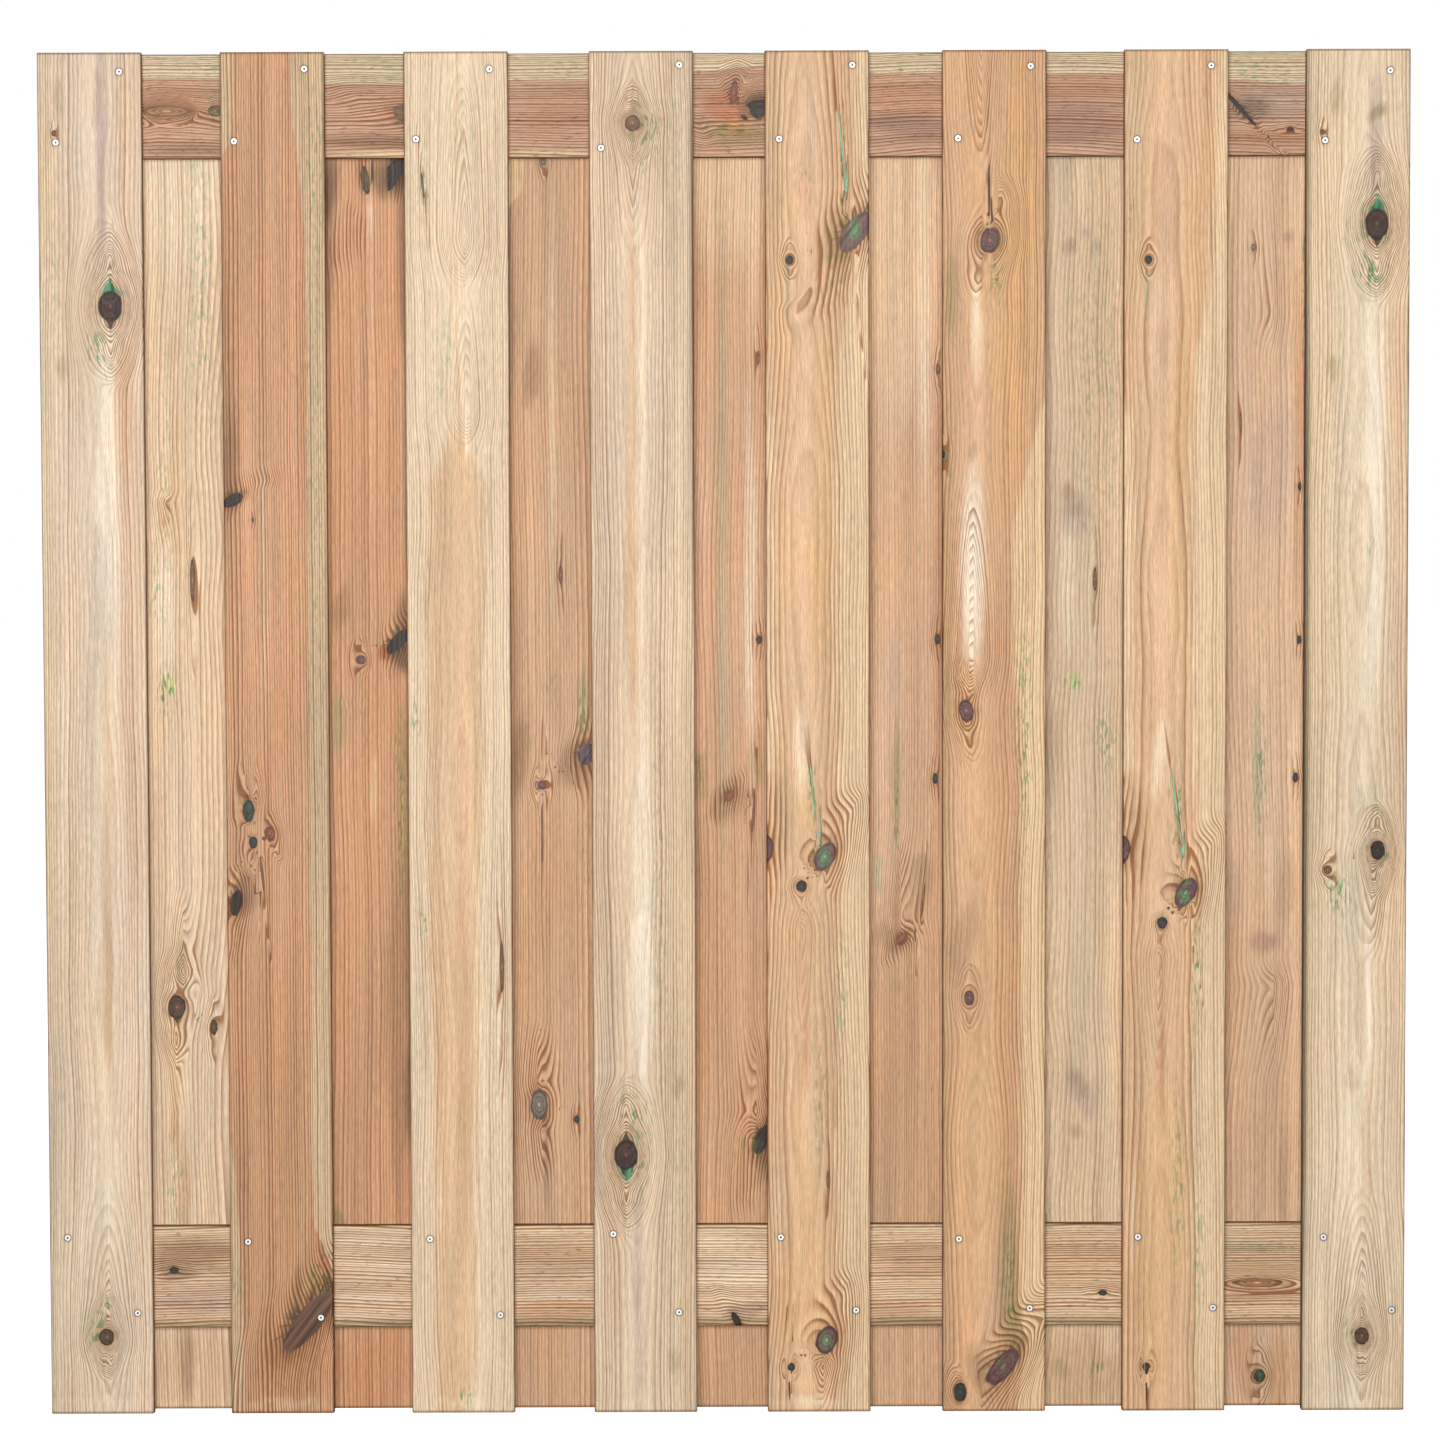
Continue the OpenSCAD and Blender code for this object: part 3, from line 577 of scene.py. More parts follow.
        [knot(-6, 168, 7, 34, "tan", 0, 0.8), knot(-6, 232, 7, 10, "umber", 0, 0.7), knot(-12, 486, 12, 22, "umber", 20, 0.2, 0, 0, 0, 0.7),
         knot(-6, 942, 12, 18, "char", -20, 0.5, 0, 0, 0, 0.6), knot(16, 913, 16, 5, "red", 8, 0.4), knot(-16, 926, 8, 8, "char", 0, 0.4),
         knot(-6, 1578, 3, 32, "char", 48, 0.3), knot(-34, 1644, 3, 5, "black", 0, 0.6)],
        [mark(-46, 436, 9, 60, "umber", 0.6), mark(-62, 440, 6, 70, "straw", 0.7), mark(-62, 670, 6, 60, "straw", 0.7),
         mark(-4, 890, 22, 30, "rust", 0.6), mark(-30, 905, 14, 24, "orange", 0.7), mark(0, 935, 18, 26, "ink", 0.6), mark(-40, 900, 12, 50, "olive", 0.6),
         mark(-30, 1140, 18, 60, "plum", 0.5), mark(10, 1140, 20, 60, "clay", 0.4), mark(-24, 1370, 26, 60, "plum", 0.5),
         mark(20, 1370, 14, 60, "clay", 0.4), mark(0, 1620, 26, 60, "grey", 0.45), mark(-46, 1620, 12, 60, "clay", 0.4),
         mark(-10, 670, 30, 50, "rust", 0.25), mark(0, 190, 26, 50, "clay", 0.35), mark(-58, 190, 8, 50, "umber", 0.4),
         mark(-6, 1590, 16, 30, "dark", 0.5)],
        [(52, 220, 16, 50, 0.6), (50, 460, 20, 40, 0.6), (48, 690, 16, 30, 0.6), (50, 1140, 18, 60, 0.3), (54, 1370, 14, 60, 0.3),
         (40, 1600, 20, 60, 0.8), (0, 232, 40, 12, 0.7), (-30, 910, 14, 50, 0.8), (-4, 1600, 10, 24, 0.9)],
        [Arch(-6, 160, 240, 14, -24)]),
    "bottom_rail": Plank(
        "rail_pine", "e3c6a5", 3.2, (-140, 60), (6, 400), 0, 1.2, 0.4,
        ("e2cdab", [(1800, -90), (0, -90)], [(1800, 57), (900, 56), (0, 55)], 2.0),
        [knot(9, 163, 5, 6, "ink", 0, 0.4), knot(-60, 912, 5, 12, "char", 60, 0.1), knot(-25, 1400, 4, 6, "ink", 0, 0.4),
         knot(-12, 1606, 6, 34, "tan", 0, 0.8)],
        [mark(0, 430, 60, 50, "cream", 0.15), mark(0, 670, 60, 50, "light", 0.25), mark(0, 906, 64, 50, "cream", 0.5),
         mark(0, 1370, 60, 50, "light", 0.3), mark(0, 1610, 60, 50, "light", 0.35),
         mark(30, 190, 22, 60, "umber", 0.45), mark(4, 160, 10, 26, "dark", 0.4), mark(-34, 190, 16, 60, "mauve", 0.45),
         mark(-63, 900, 5, 1200, "olive", 0.7), mark(30, 430, 30, 60, "cream", 0.5), mark(-30, 430, 6, 60, "cream", 0.6),
         mark(20, 670, 26, 60, "brown", 0.3), mark(-26, 670, 5, 60, "cream", 0.7), mark(-48, 670, 12, 60, "clay", 0.4),
         mark(20, 906, 34, 60, "cream", 0.6), mark(-30, 890, 5, 50, "light", 0.5), mark(-46, 930, 12, 30, "dark", 0.35),
         mark(20, 1140, 26, 60, "brown", 0.35), mark(-24, 1140, 6, 60, "cream", 0.6), mark(-46, 1140, 12, 60, "tan", 0.5),
         mark(20, 1370, 26, 60, "tan", 0.3), mark(-26, 1370, 6, 60, "cream", 0.5), mark(38, 1610, 8, 60, "mist", 0.6),
         mark(10, 1610, 10, 60, "brown", 0.4), mark(-24, 1610, 14, 60, "clay", 0.5)],
        [(40, 900, 12, 900, 0.25), (38, 1610, 10, 60, 0.4), (10, 230, 8, 30, 0.6), (40, 1380, 8, 60, 0.35)],
        []),
}
print(len(PLANKS), "planks with", sum(len(p.knots) for p in PLANKS.values()), "knots")

# %% [markdown]
# ## One plank by rule
#
# All planks come from the same planing machine, so one Geometry Nodes tree makes them all. A rectangle gets its four
# corners rounded and extra points on its wide sides, and the section is swept along a line. Planing leaves the faces
# true to a fraction of a millimetre, so the small waves are pushed inwards only, and a board never grows past its
# real size. A countersink is cut wherever a point marks a screw.

# %% Plank tree
MESH_STEP = 0.006
EDGE_RADIUS = 0.003
END_EASE = 0.0006
SEAT_TOP, SEAT_LOW = 0.0062, 0.0012
SEAT_DEPTH = SEAT_TOP - SEAT_LOW
SEAT_START = -0.0018


def compare(tree, operation, a, b, epsilon=None):
    made = node(tree, "FunctionNodeCompare", {0: a, 1: b}, operation=operation)
    if epsilon is not None:
        made.inputs["Epsilon"].default_value = epsilon
    return made.outputs[0]


plank_tree, plank_in, plank_out = group(
    "planed plank", "GeometryNodeTree",
    [("Screw Points", "NodeSocketGeometry"), ("Width", "NodeSocketFloat", 0.137), ("Thickness", "NodeSocketFloat", 0.016),
     ("Length", "NodeSocketFloat", 1.8), ("Columns", "NodeSocketInt", 22), ("Rows", "NodeSocketInt", 300),
     ("Edge Wave", "NodeSocketFloat", 0.0004), ("Face Wave", "NodeSocketFloat", 0.00015), ("Seed", "NodeSocketFloat"),
     ("Facing", "NodeSocketFloat", -1.0), ("Place", "NodeSocketVector"), ("Turn", "NodeSocketVector"),
     ("Material", "NodeSocketMaterial")],
    [("Plank", "NodeSocketGeometry")])


def build_plank(tree, g, out):
    section = node(tree, "GeometryNodeCurvePrimitiveQuadrilateral", {0: g["Width"], 1: g["Thickness"]}).outputs[0]
    section = node(tree, "GeometryNodeFilletCurve",
                   {"Curve": section, "Count": 3, "Radius": EDGE_RADIUS, "Limit Radius": True}, mode="POLY").outputs[0]
    index = node(tree, "GeometryNodeInputIndex").outputs[0]
    turn_index = calc(tree, "MODULO", index, 8.0)
    wide = calc(tree, "COMPARE", turn_index, 3.0, 0.1)
    narrow = calc(tree, "COMPARE", turn_index, 7.0, 0.1)
    cuts = calc(tree, "MULTIPLY_ADD", wide, g["Columns"], narrow)
    section = node(tree, "GeometryNodeSubdivideCurve", {"Curve": section, "Cuts": cuts}).outputs[0]

    line = node(tree, "GeometryNodeCurvePrimitiveLine", {"End": combine(tree, 0.0, 0.0, g["Length"])}).outputs[0]
    line = node(tree, "GeometryNodeResampleCurve", {"Curve": line, "Count": g["Rows"]}).outputs[0]
    last = calc(tree, "SUBTRACT", g["Rows"], 2.0)
    for place, height in ((1.0, END_EASE), (last, calc(tree, "SUBTRACT", g["Length"], END_EASE))):
        chosen = compare(tree, "EQUAL", index, place, 0.1)
        inputs = {"Geometry": line, "Selection": chosen, "Position": combine(tree, 0.0, 0.0, height)}
        line = node(tree, "GeometryNodeSetPosition", inputs).outputs[0]
    body = node(tree, "GeometryNodeCurveToMesh",
                {"Curve": line, "Profile Curve": section, "Fill Caps": True}).outputs[0]

    # the sawn ends are eased by half a millimetre, and the planed faces wave a little, always inwards
    here = split(tree, node(tree, "GeometryNodeInputPosition").outputs[0])
    normal = split(tree, node(tree, "GeometryNodeInputNormal").outputs[0])
    from_end = calc(tree, "MINIMUM", here[2], calc(tree, "SUBTRACT", g["Length"], here[2]))
    at_end = calc(tree, "LESS_THAN", from_end, END_EASE * 0.5)
    side_x = node(tree, "ShaderNodeMath", {0: here[0]}, operation="SIGN").outputs[0]
    side_y = node(tree, "ShaderNodeMath", {0: here[1]}, operation="SIGN").outputs[0]
    edge_x = calc(tree, "GREATER_THAN", calc(tree, "ABSOLUTE", normal[0]), 0.5)
    outer = calc(tree, "GREATER_THAN", calc(tree, "MULTIPLY", normal[1], g["Facing"]), 0.5)
    wave = noise_along(tree, calc(tree, "MULTIPLY_ADD", here[2], 5.0, calc(tree, "MULTIPLY_ADD", side_x, 3.7, g["Seed"])), 2.0)
    ripple = noise(tree, combine(tree, calc(tree, "MULTIPLY", here[0], 16.0), g["Seed"], calc(tree, "MULTIPLY", here[2], 7.0)))
    shift_x = calc(tree, "MULTIPLY", calc(tree, "MULTIPLY", wave, g["Edge Wave"]), edge_x)
    shift_x = calc(tree, "MULTIPLY_ADD", at_end, END_EASE * 0.7, shift_x)
    shift_y = calc(tree, "MULTIPLY", calc(tree, "MULTIPLY", ripple, g["Face Wave"]), outer)
    shift_y = calc(tree, "MULTIPLY_ADD", at_end, END_EASE * 0.7, shift_y)
    offset = combine(tree, calc(tree, "MULTIPLY", calc(tree, "MULTIPLY", side_x, shift_x), -1.0),
                     calc(tree, "MULTIPLY", calc(tree, "MULTIPLY", side_y, shift_y), -1.0), 0.0)
    body = node(tree, "GeometryNodeSetPosition", {"Geometry": body, "Offset": offset}).outputs[0]
    turn_to = node(tree, "FunctionNodeEulerToRotation", {0: g["Turn"]}).outputs[0]
    body = node(tree, "GeometryNodeTransform",
                {"Geometry": body, "Translation": g["Place"], "Rotation": turn_to}).outputs[0]

    # countersinks
    cone = node(tree, "GeometryNodeMeshCone", {"Vertices": 40, "Radius Top": SEAT_LOW, "Radius Bottom": SEAT_TOP,
                                               "Depth": SEAT_DEPTH}).outputs[0]
    cone = node(tree, "GeometryNodeTransform", {"Geometry": cone, "Translation": (0.0, 0.0, SEAT_START)}).outputs[0]
    tilt = combine(tree, calc(tree, "MULTIPLY", g["Facing"], math.pi / 2), 0.0, 0.0)
    points = node(tree, "GeometryNodeMeshToPoints", {"Mesh": g["Screw Points"]}).outputs[0]
    seats = node(tree, "GeometryNodeInstanceOnPoints", {
        "Points": points, "Instance": cone,
        "Rotation": node(tree, "FunctionNodeEulerToRotation", {0: tilt}).outputs[0]}).outputs[0]
    seats = node(tree, "GeometryNodeRealizeInstances", {0: seats}).outputs[0]
    body = node(tree, "GeometryNodeMeshBoolean", {"Mesh 1": body, "Mesh 2": seats}, operation="DIFFERENCE",
                solver="MANIFOLD").outputs[0]

    # flat faces stay flat, rounded edges shade smoothly
    normal = split(tree, node(tree, "GeometryNodeInputNormal").outputs[0])
    squares = [calc(tree, "ABSOLUTE", normal[i]) for i in range(3)]
    square_on = calc(tree, "GREATER_THAN", calc(tree, "MAXIMUM", squares[0], calc(tree, "MAXIMUM", squares[1], squares[2])), 0.98)
    body = node(tree, "GeometryNodeSetShadeSmooth", {"Geometry": body, "Shade Smooth": True}).outputs[0]
    body = node(tree, "GeometryNodeSetShadeSmooth",
                {"Geometry": body, "Selection": square_on, "Shade Smooth": False}).outputs[0]
    body = node(tree, "GeometryNodeRealizeInstances", {0: body}).outputs[0]
    body = node(tree, "GeometryNodeSetMaterial", {"Geometry": body, "Material": g["Material"]}).outputs[0]
    put(tree, out["Plank"], body)


build_plank(plank_tree, plank_in, plank_out)
print("plank tree has", len(plank_tree.nodes), "nodes")

# %% [markdown]
# ## Where the screws are
#
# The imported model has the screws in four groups. The face of a head is the flattest and foremost part of a screw, so
# the vertices on that plane, taken in clumps, give the middle of every head.

# %% Screw places
HEAD_CLUMP = 0.012


def head_centres(name):
    points = np.array([v.co[:] for v in NODES[name].data.vertices])
    side = -1 if name.startswith("front") else 1
    face = points[points[:, 1] * side > (points[:, 1] * side).max() - 1e-5]
    face = face[np.argsort(face[:, 0])]
    clumps = np.split(face, np.where(np.diff(face[:, 0]) > HEAD_CLUMP)[0] + 1)
    return [((c.min(0) + c.max(0)) / 2) for c in clumps]


SCREW_NODES = ("front_screws_top", "front_screws_bottom", "back_screws_top", "back_screws_bottom")
HEADS = {name: head_centres(name) for name in SCREW_NODES}
print({name: len(points) for name, points in HEADS.items()})

# %% [markdown]
# ## Baking one plank
#
# Geometry Nodes runs as a modifier, and the exported piece has to be a plain mesh, so each plank is evaluated once and
# kept. The modifier's inputs are set by socket name. Points for the countersinks are the vertices of the object that
# carries the modifier.

# %% Baking


def set_inputs(modifier, values):
    for item in modifier.node_group.interface.items_tree:
        if item.in_out == "INPUT" and item.name in values:
            modifier[item.identifier] = values[item.name]


def bake(name, tree, points, values):
    seed_mesh = bpy.data.meshes.new(name + "_points")
    seed_mesh.from_pydata([tuple(p) for p in points], [], [])
    carrier = bpy.data.objects.new(name + "_carrier", seed_mesh)
    bpy.context.scene.collection.objects.link(carrier)
    modifier = carrier.modifiers.new("shape", "NODES")
    modifier.node_group = tree
    set_inputs(modifier, values)
    mesh = bpy.data.meshes.new_from_object(carrier.evaluated_get(bpy.context.evaluated_depsgraph_get()))
    bpy.data.objects.remove(carrier)
    made = bpy.data.objects.new(name, mesh)
    mesh.name = name
    bpy.context.scene.collection.objects.link(made)
    return made


def triangles(obj):
    return sum(len(p.vertices) - 2 for p in obj.data.polygons)


print("bake ready")

# %% [markdown]
# ## Notes become attributes
#
# The shader needs to know, at every point, which knot is near and what the wood's own tone is. Both are worked out
# from the notes at the vertices. A knot's place is kept as a distance in knot radii, which changes evenly across the
# face, so it stays exact between vertices and even a three-millimetre knot is round.

# %% Attributes
KNOT_REACH = (4.0, 5.6)
SMALL_KNOT = 10.0
MARK_EDGE = (0.55, 1.4)
FAR_SAP = 90.0


def smooth(x, low, high):
    t = np.clip((x - low) / (high - low), 0, 1)
    return t * t * (3 - 2 * t)


def waves(u, v, seed, across, along, count=7):
    rng = np.random.default_rng(seed)
    total = 0
    for _ in range(count):
        a, b, phase = rng.normal() / across, rng.normal() / along, rng.uniform(0, 2 * math.pi)
        total = total + np.sin(u * a + v * b + phase)
    return total / math.sqrt(count)


def add_attribute(mesh, name, kind, values):
    field = "color" if kind == "FLOAT_COLOR" else "vector" if kind == "FLOAT_VECTOR" else "value"
    made = mesh.attributes.new(name, kind, "POINT")
    made.data.foreach_set(field, np.asarray(values, np.float32).ravel())


def knot_fields(plank, u, v, depth):
    count = len(u)
    best, second, far = np.full(count, 1e3), np.full(count, 1e3), np.full(count, 1e3)
    near, traits, tips = np.zeros((count, 3)), np.zeros((count, 3)), np.zeros((count, 3))
    near[:, :2] = 30.0
    wood = np.zeros((count, 4))
    for k in plank.knots:
        du, dv = u - k.u - 0.15 * (depth + 8), v - k.v
        c, s = math.cos(k.lean), math.sin(k.lean)
        qx, qy = (c * du + s * dv) / k.ru, (c * dv - s * du) / k.rv
        mean = math.sqrt(k.ru * k.rv)
        away = np.hypot(qx, qy)
        rank = away * min(1.0, mean / SMALL_KNOT)
        closer = rank < best
        second = np.where(closer, best, np.minimum(second, rank))
        best = np.where(closer, rank, best)
        far = np.where(closer, away, far)
        near[closer, :2] = np.stack([qx, qy], 1)[closer]
        traits[closer] = np.stack([du, np.full(count, mean), np.full(count, k.lift)], 1)[closer]
        tips[closer] = (k.tip, k.point, k.notch)
        wood[closer] = (*k.wood, k.fringe)
    near[:, 2] = smooth(second - best, 0.7, 1.6) * (1 - smooth(far, *KNOT_REACH))
    return near, traits, tips, wood


def sap_distance(plank, u, v):
    if plank.sap is None:
        return np.full(len(u), -FAR_SAP)
    left, right = [np.array(sorted(side)) for side in plank.sap[1:3]]
    blur = plank.sap[3]
    inside = np.maximum(np.interp(v, left[:, 0], left[:, 1]) - u, u - np.interp(v, right[:, 0], right[:, 1]))
    return np.clip(inside / blur, -FAR_SAP, FAR_SAP)


def arch_lift(plank, u, v):
    total = np.zeros(len(u))
    for a in plank.arches:
        t = (v - a.v_base) / (a.v_tip - a.v_base)
        ramp = (1 - np.clip(t, 0, 1)) * smooth(t, -0.35, 0)
        total += a.rise * ramp * np.exp(-np.abs(u - a.u) / a.width)
    return total


def write_attributes(obj, plank, low, high, lying, seed, heads):
    mesh = obj.data
    points = np.empty(len(mesh.vertices) * 3, np.float32)
    mesh.vertices.foreach_get("co", points)
    points = points.reshape(-1, 3).astype(float)
    wide, tall = (2, 0) if lying else (0, 2)
    u = (points[:, wide] - (low[wide] + high[wide]) / 2) * 1000
    v = (points[:, tall] - low[tall]) * 1000
    depth = (points[:, 1] - (low[1] + high[1]) / 2) * 1000
    count = len(u)
    near, traits, tips, wood = knot_fields(plank, u, v, depth)

    ground = np.tile(np.array(linear(plank.tone)), (count, 1))
    shaken_u = u + 1.8 * waves(u, v, seed + 1, 24, 70)
    shaken_v = v + 18 * waves(u, v, seed + 2, 9, 120)
    for m in plank.marks:
        wobble = min(1.0, m.ru / 8), min(1.0, m.rv / 40)
        far = np.hypot((u + (shaken_u - u) * wobble[0] - m.u) / m.ru, (v + (shaken_v - v) * wobble[1] - m.v) / m.rv)
        weight = (m.strength * (1 - smooth(far, *MARK_EDGE)))[:, None]
        ground = ground * (1 - weight) + np.array(m.tone) * weight
    drift = 1 + 0.04 * waves(u, v, seed + 3, 40, 200) + 0.035 * waves(u, v, seed + 4, 7, 160)
    warm = 0.02 * waves(u, v, seed + 5, 14, 90)
    ground = ground * (drift[:, None] * np.stack([1 + warm, np.ones(count), 1 - 1.6 * warm], 1))
    green = np.zeros(count)
    for gu, gv, gru, grv, amount in plank.greens:
        green += amount * np.exp(-((u - gu) / gru) ** 2 - ((v - gv) / grv) ** 2)

    seat = np.zeros((count, 3))
    seat[:, :2] = 40.0
    for head in heads:
        hu = (head[wide] - (low[wide] + high[wide]) / 2) * 1000
        hv = (head[tall] - low[tall]) * 1000
        away = np.hypot(u - hu, v - hv)
        close = (away < 26) & (depth * np.sign(head[1]) > -7.9)
        seat[close] = np.stack([u - hu, v - hv, 1 - smooth(away, 13, 20)], 1)[close]

    add_attribute(mesh, "space", "FLOAT_VECTOR", np.stack([u, depth, v], 1))
    add_attribute(mesh, "knot", "FLOAT_VECTOR", near)
    add_attribute(mesh, "traits", "FLOAT_VECTOR", traits)
    add_attribute(mesh, "tips", "FLOAT_VECTOR", tips)
    add_attribute(mesh, "seat", "FLOAT_VECTOR", seat)
    add_attribute(mesh, "wood", "FLOAT_COLOR", wood)
    add_attribute(mesh, "ground", "FLOAT_COLOR", np.concatenate([ground, np.ones((count, 1))], 1))
    add_attribute(mesh, "notes", "FLOAT_VECTOR", np.stack([sap_distance(plank, u, v), green, arch_lift(plank, u, v)], 1))


print("attributes ready")

# %% [markdown]
# ## A finish for each plank
#
# Every plank uses the same pine group with its own ring width, place of the pith and seed. The surface is planed wood
# with an oily preservative in it: a soft sheen, and fine fibres that stand up a few hundredths of a millimetre.

# %% Wood materials
BUMP_DISTANCE = 0.00012


def attribute(tree, name, output):
    return node(tree, "ShaderNodeAttribute", attribute_name=name).outputs[output]


def pine_material(name, plank, seed, length, half_width):
    material = bpy.data.materials.new(name)
    material.use_nodes = True
    tree = material.node_tree
    shader = tree.nodes["Principled BSDF"]
    made = tree.nodes.new("ShaderNodeGroup")
    made.node_tree = pine
    sap, green, arches = split(tree, attribute(tree, "notes", "Vector"))
    values = {
        "Space": attribute(tree, "space", "Vector"), "Knot": attribute(tree, "knot", "Vector"),
        "Knot Traits": attribute(tree, "traits", "Vector"), "Knot Tips": attribute(tree, "tips", "Vector"),
        "Fringe": attribute(tree, "wood", "Alpha"), "Seat": attribute(tree, "seat", "Vector"),
        "Ground": attribute(tree, "ground", "Color"), "Knot Colour": attribute(tree, "wood", "Color"),
        "Sap Colour": (*linear(plank.sap[0] if plank.sap else plank.tone), 1), "Sap": sap, "Green": green,
        "Arches": arches, "Length": length, "Half Width": half_width, "Ring Width": plank.ring,
        "Pith Across": plank.pith[0], "Pith Depth": plank.pith[1], "Tilt": plank.tilt, "Wander": plank.wander[0],
        "Wander Length": plank.wander[1], "Grain": plank.grain, "Dashes": plank.dashes, "Seed": seed,
    }
    for key, value in values.items():
        put(tree, made.inputs[key], float(value) if isinstance(value, int) else value)
    bump = node(tree, "ShaderNodeBump", {"Strength": 0.6, "Distance": BUMP_DISTANCE, "Height": made.outputs["Height"]})
    put(tree, shader.inputs["Base Color"], made.outputs["Colour"])
    put(tree, shader.inputs["Roughness"], made.outputs["Roughness"])
    put(tree, shader.inputs["Normal"], bump.outputs[0])
    shader.inputs["Specular IOR Level"].default_value = 0.25
    return material


print("finish ready")

# %% [markdown]
# ## The seventeen planks
#
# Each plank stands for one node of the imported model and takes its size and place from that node. A rail is the same
# plank turned to lie along the panel.

# %% Planks
planks = {}
for number, (name, plank) in enumerate(PLANKS.items()):
    low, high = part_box(name)
    lying = name.endswith("rail")
    middle = (low + high) / 2
    width = (high[2] - low[2]) if lying else (high[0] - low[0])
    length = (high[0] - low[0]) if lying else (high[2] - low[2])
    facing = 0.0 if lying else math.copysign(1.0, middle[1])
    heads = [] if lying else [h for node_name in SCREW_NODES for h in HEADS[node_name]
                              if low[0] < h[0] < high[0] and h[1] * facing > 0]
    material = pine_material(name + "_finish", plank, 10.0 + 7.3 * number, length * 1000, width * 500)
    piece = bake(name + "_planed", plank_tree, heads, {
        "Width": width, "Thickness": high[1] - low[1], "Length": length,
        "Columns": round(width / MESH_STEP), "Rows": round(length / MESH_STEP), "Seed": 5.0 + number,
        "Facing": facing, "Place": (low[0], middle[1], middle[2]) if lying else (middle[0], middle[1], low[2]),
        "Turn": (0.0, math.pi / 2 if lying else 0.0, 0.0), "Material": material})
    write_attributes(piece, plank, low, high, lying, 100 * number, heads)
    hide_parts(name)
    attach(piece, "root")
    planks[name] = piece
print("planks", len(planks), "triangles", sum(triangles(p) for p in planks.values()))

# %% [markdown]
# ## Screws
#
# The screws are stainless countersunk wood screws with a six-lobe recess. One screw is turned as a profile, its recess
# is cut out, and a thread runs round the core. It is then set at every head, each turned by its own random angle,
# because a driver never stops at the same place twice.

# %% Screw tree
SCREW_ROWS = ((0.0, 3.82), (0.10, 3.97), (0.22, 4.0), (0.40, 4.0), (1.2, 3.22), (2.2, 2.2), (2.9, 1.5), (6.0, 1.45),
              (14.0, 1.3), (24.0, 1.2), (27.2, 0.45), (28.0, 0.08))
SCREW_TURNS = 10.0

screw_tree, screw_in, screw_out = group(
    "countersunk screws", "GeometryNodeTree",
    [("Head Points", "NodeSocketGeometry"), ("Facing", "NodeSocketFloat", -1.0), ("Seed", "NodeSocketInt", 1),
     ("Recess", "NodeSocketFloat", 0.00145), ("Recess Lobe", "NodeSocketFloat", 0.00028),
     ("Recess Depth", "NodeSocketFloat", 0.0014), ("Material", "NodeSocketMaterial")],
    [("Screws", "NodeSocketGeometry")])


def profile_curve(tree, value, values):
    made = node(tree, "ShaderNodeFloatCurve", {"Value": value})
    curve = made.mapping.curves[0]
    top, last = max(values), len(values) - 1
    for i in range(1, last):
        curve.points.new(i / last, values[i] / top)
    curve.points[0].location = (0.0, values[0] / top)
    curve.points[last].location = (1.0, values[last] / top)
    for point in curve.points:
        point.handle_type = "VECTOR"
    made.mapping.update()
    return calc(tree, "MULTIPLY", made.outputs[0], top * 0.001)


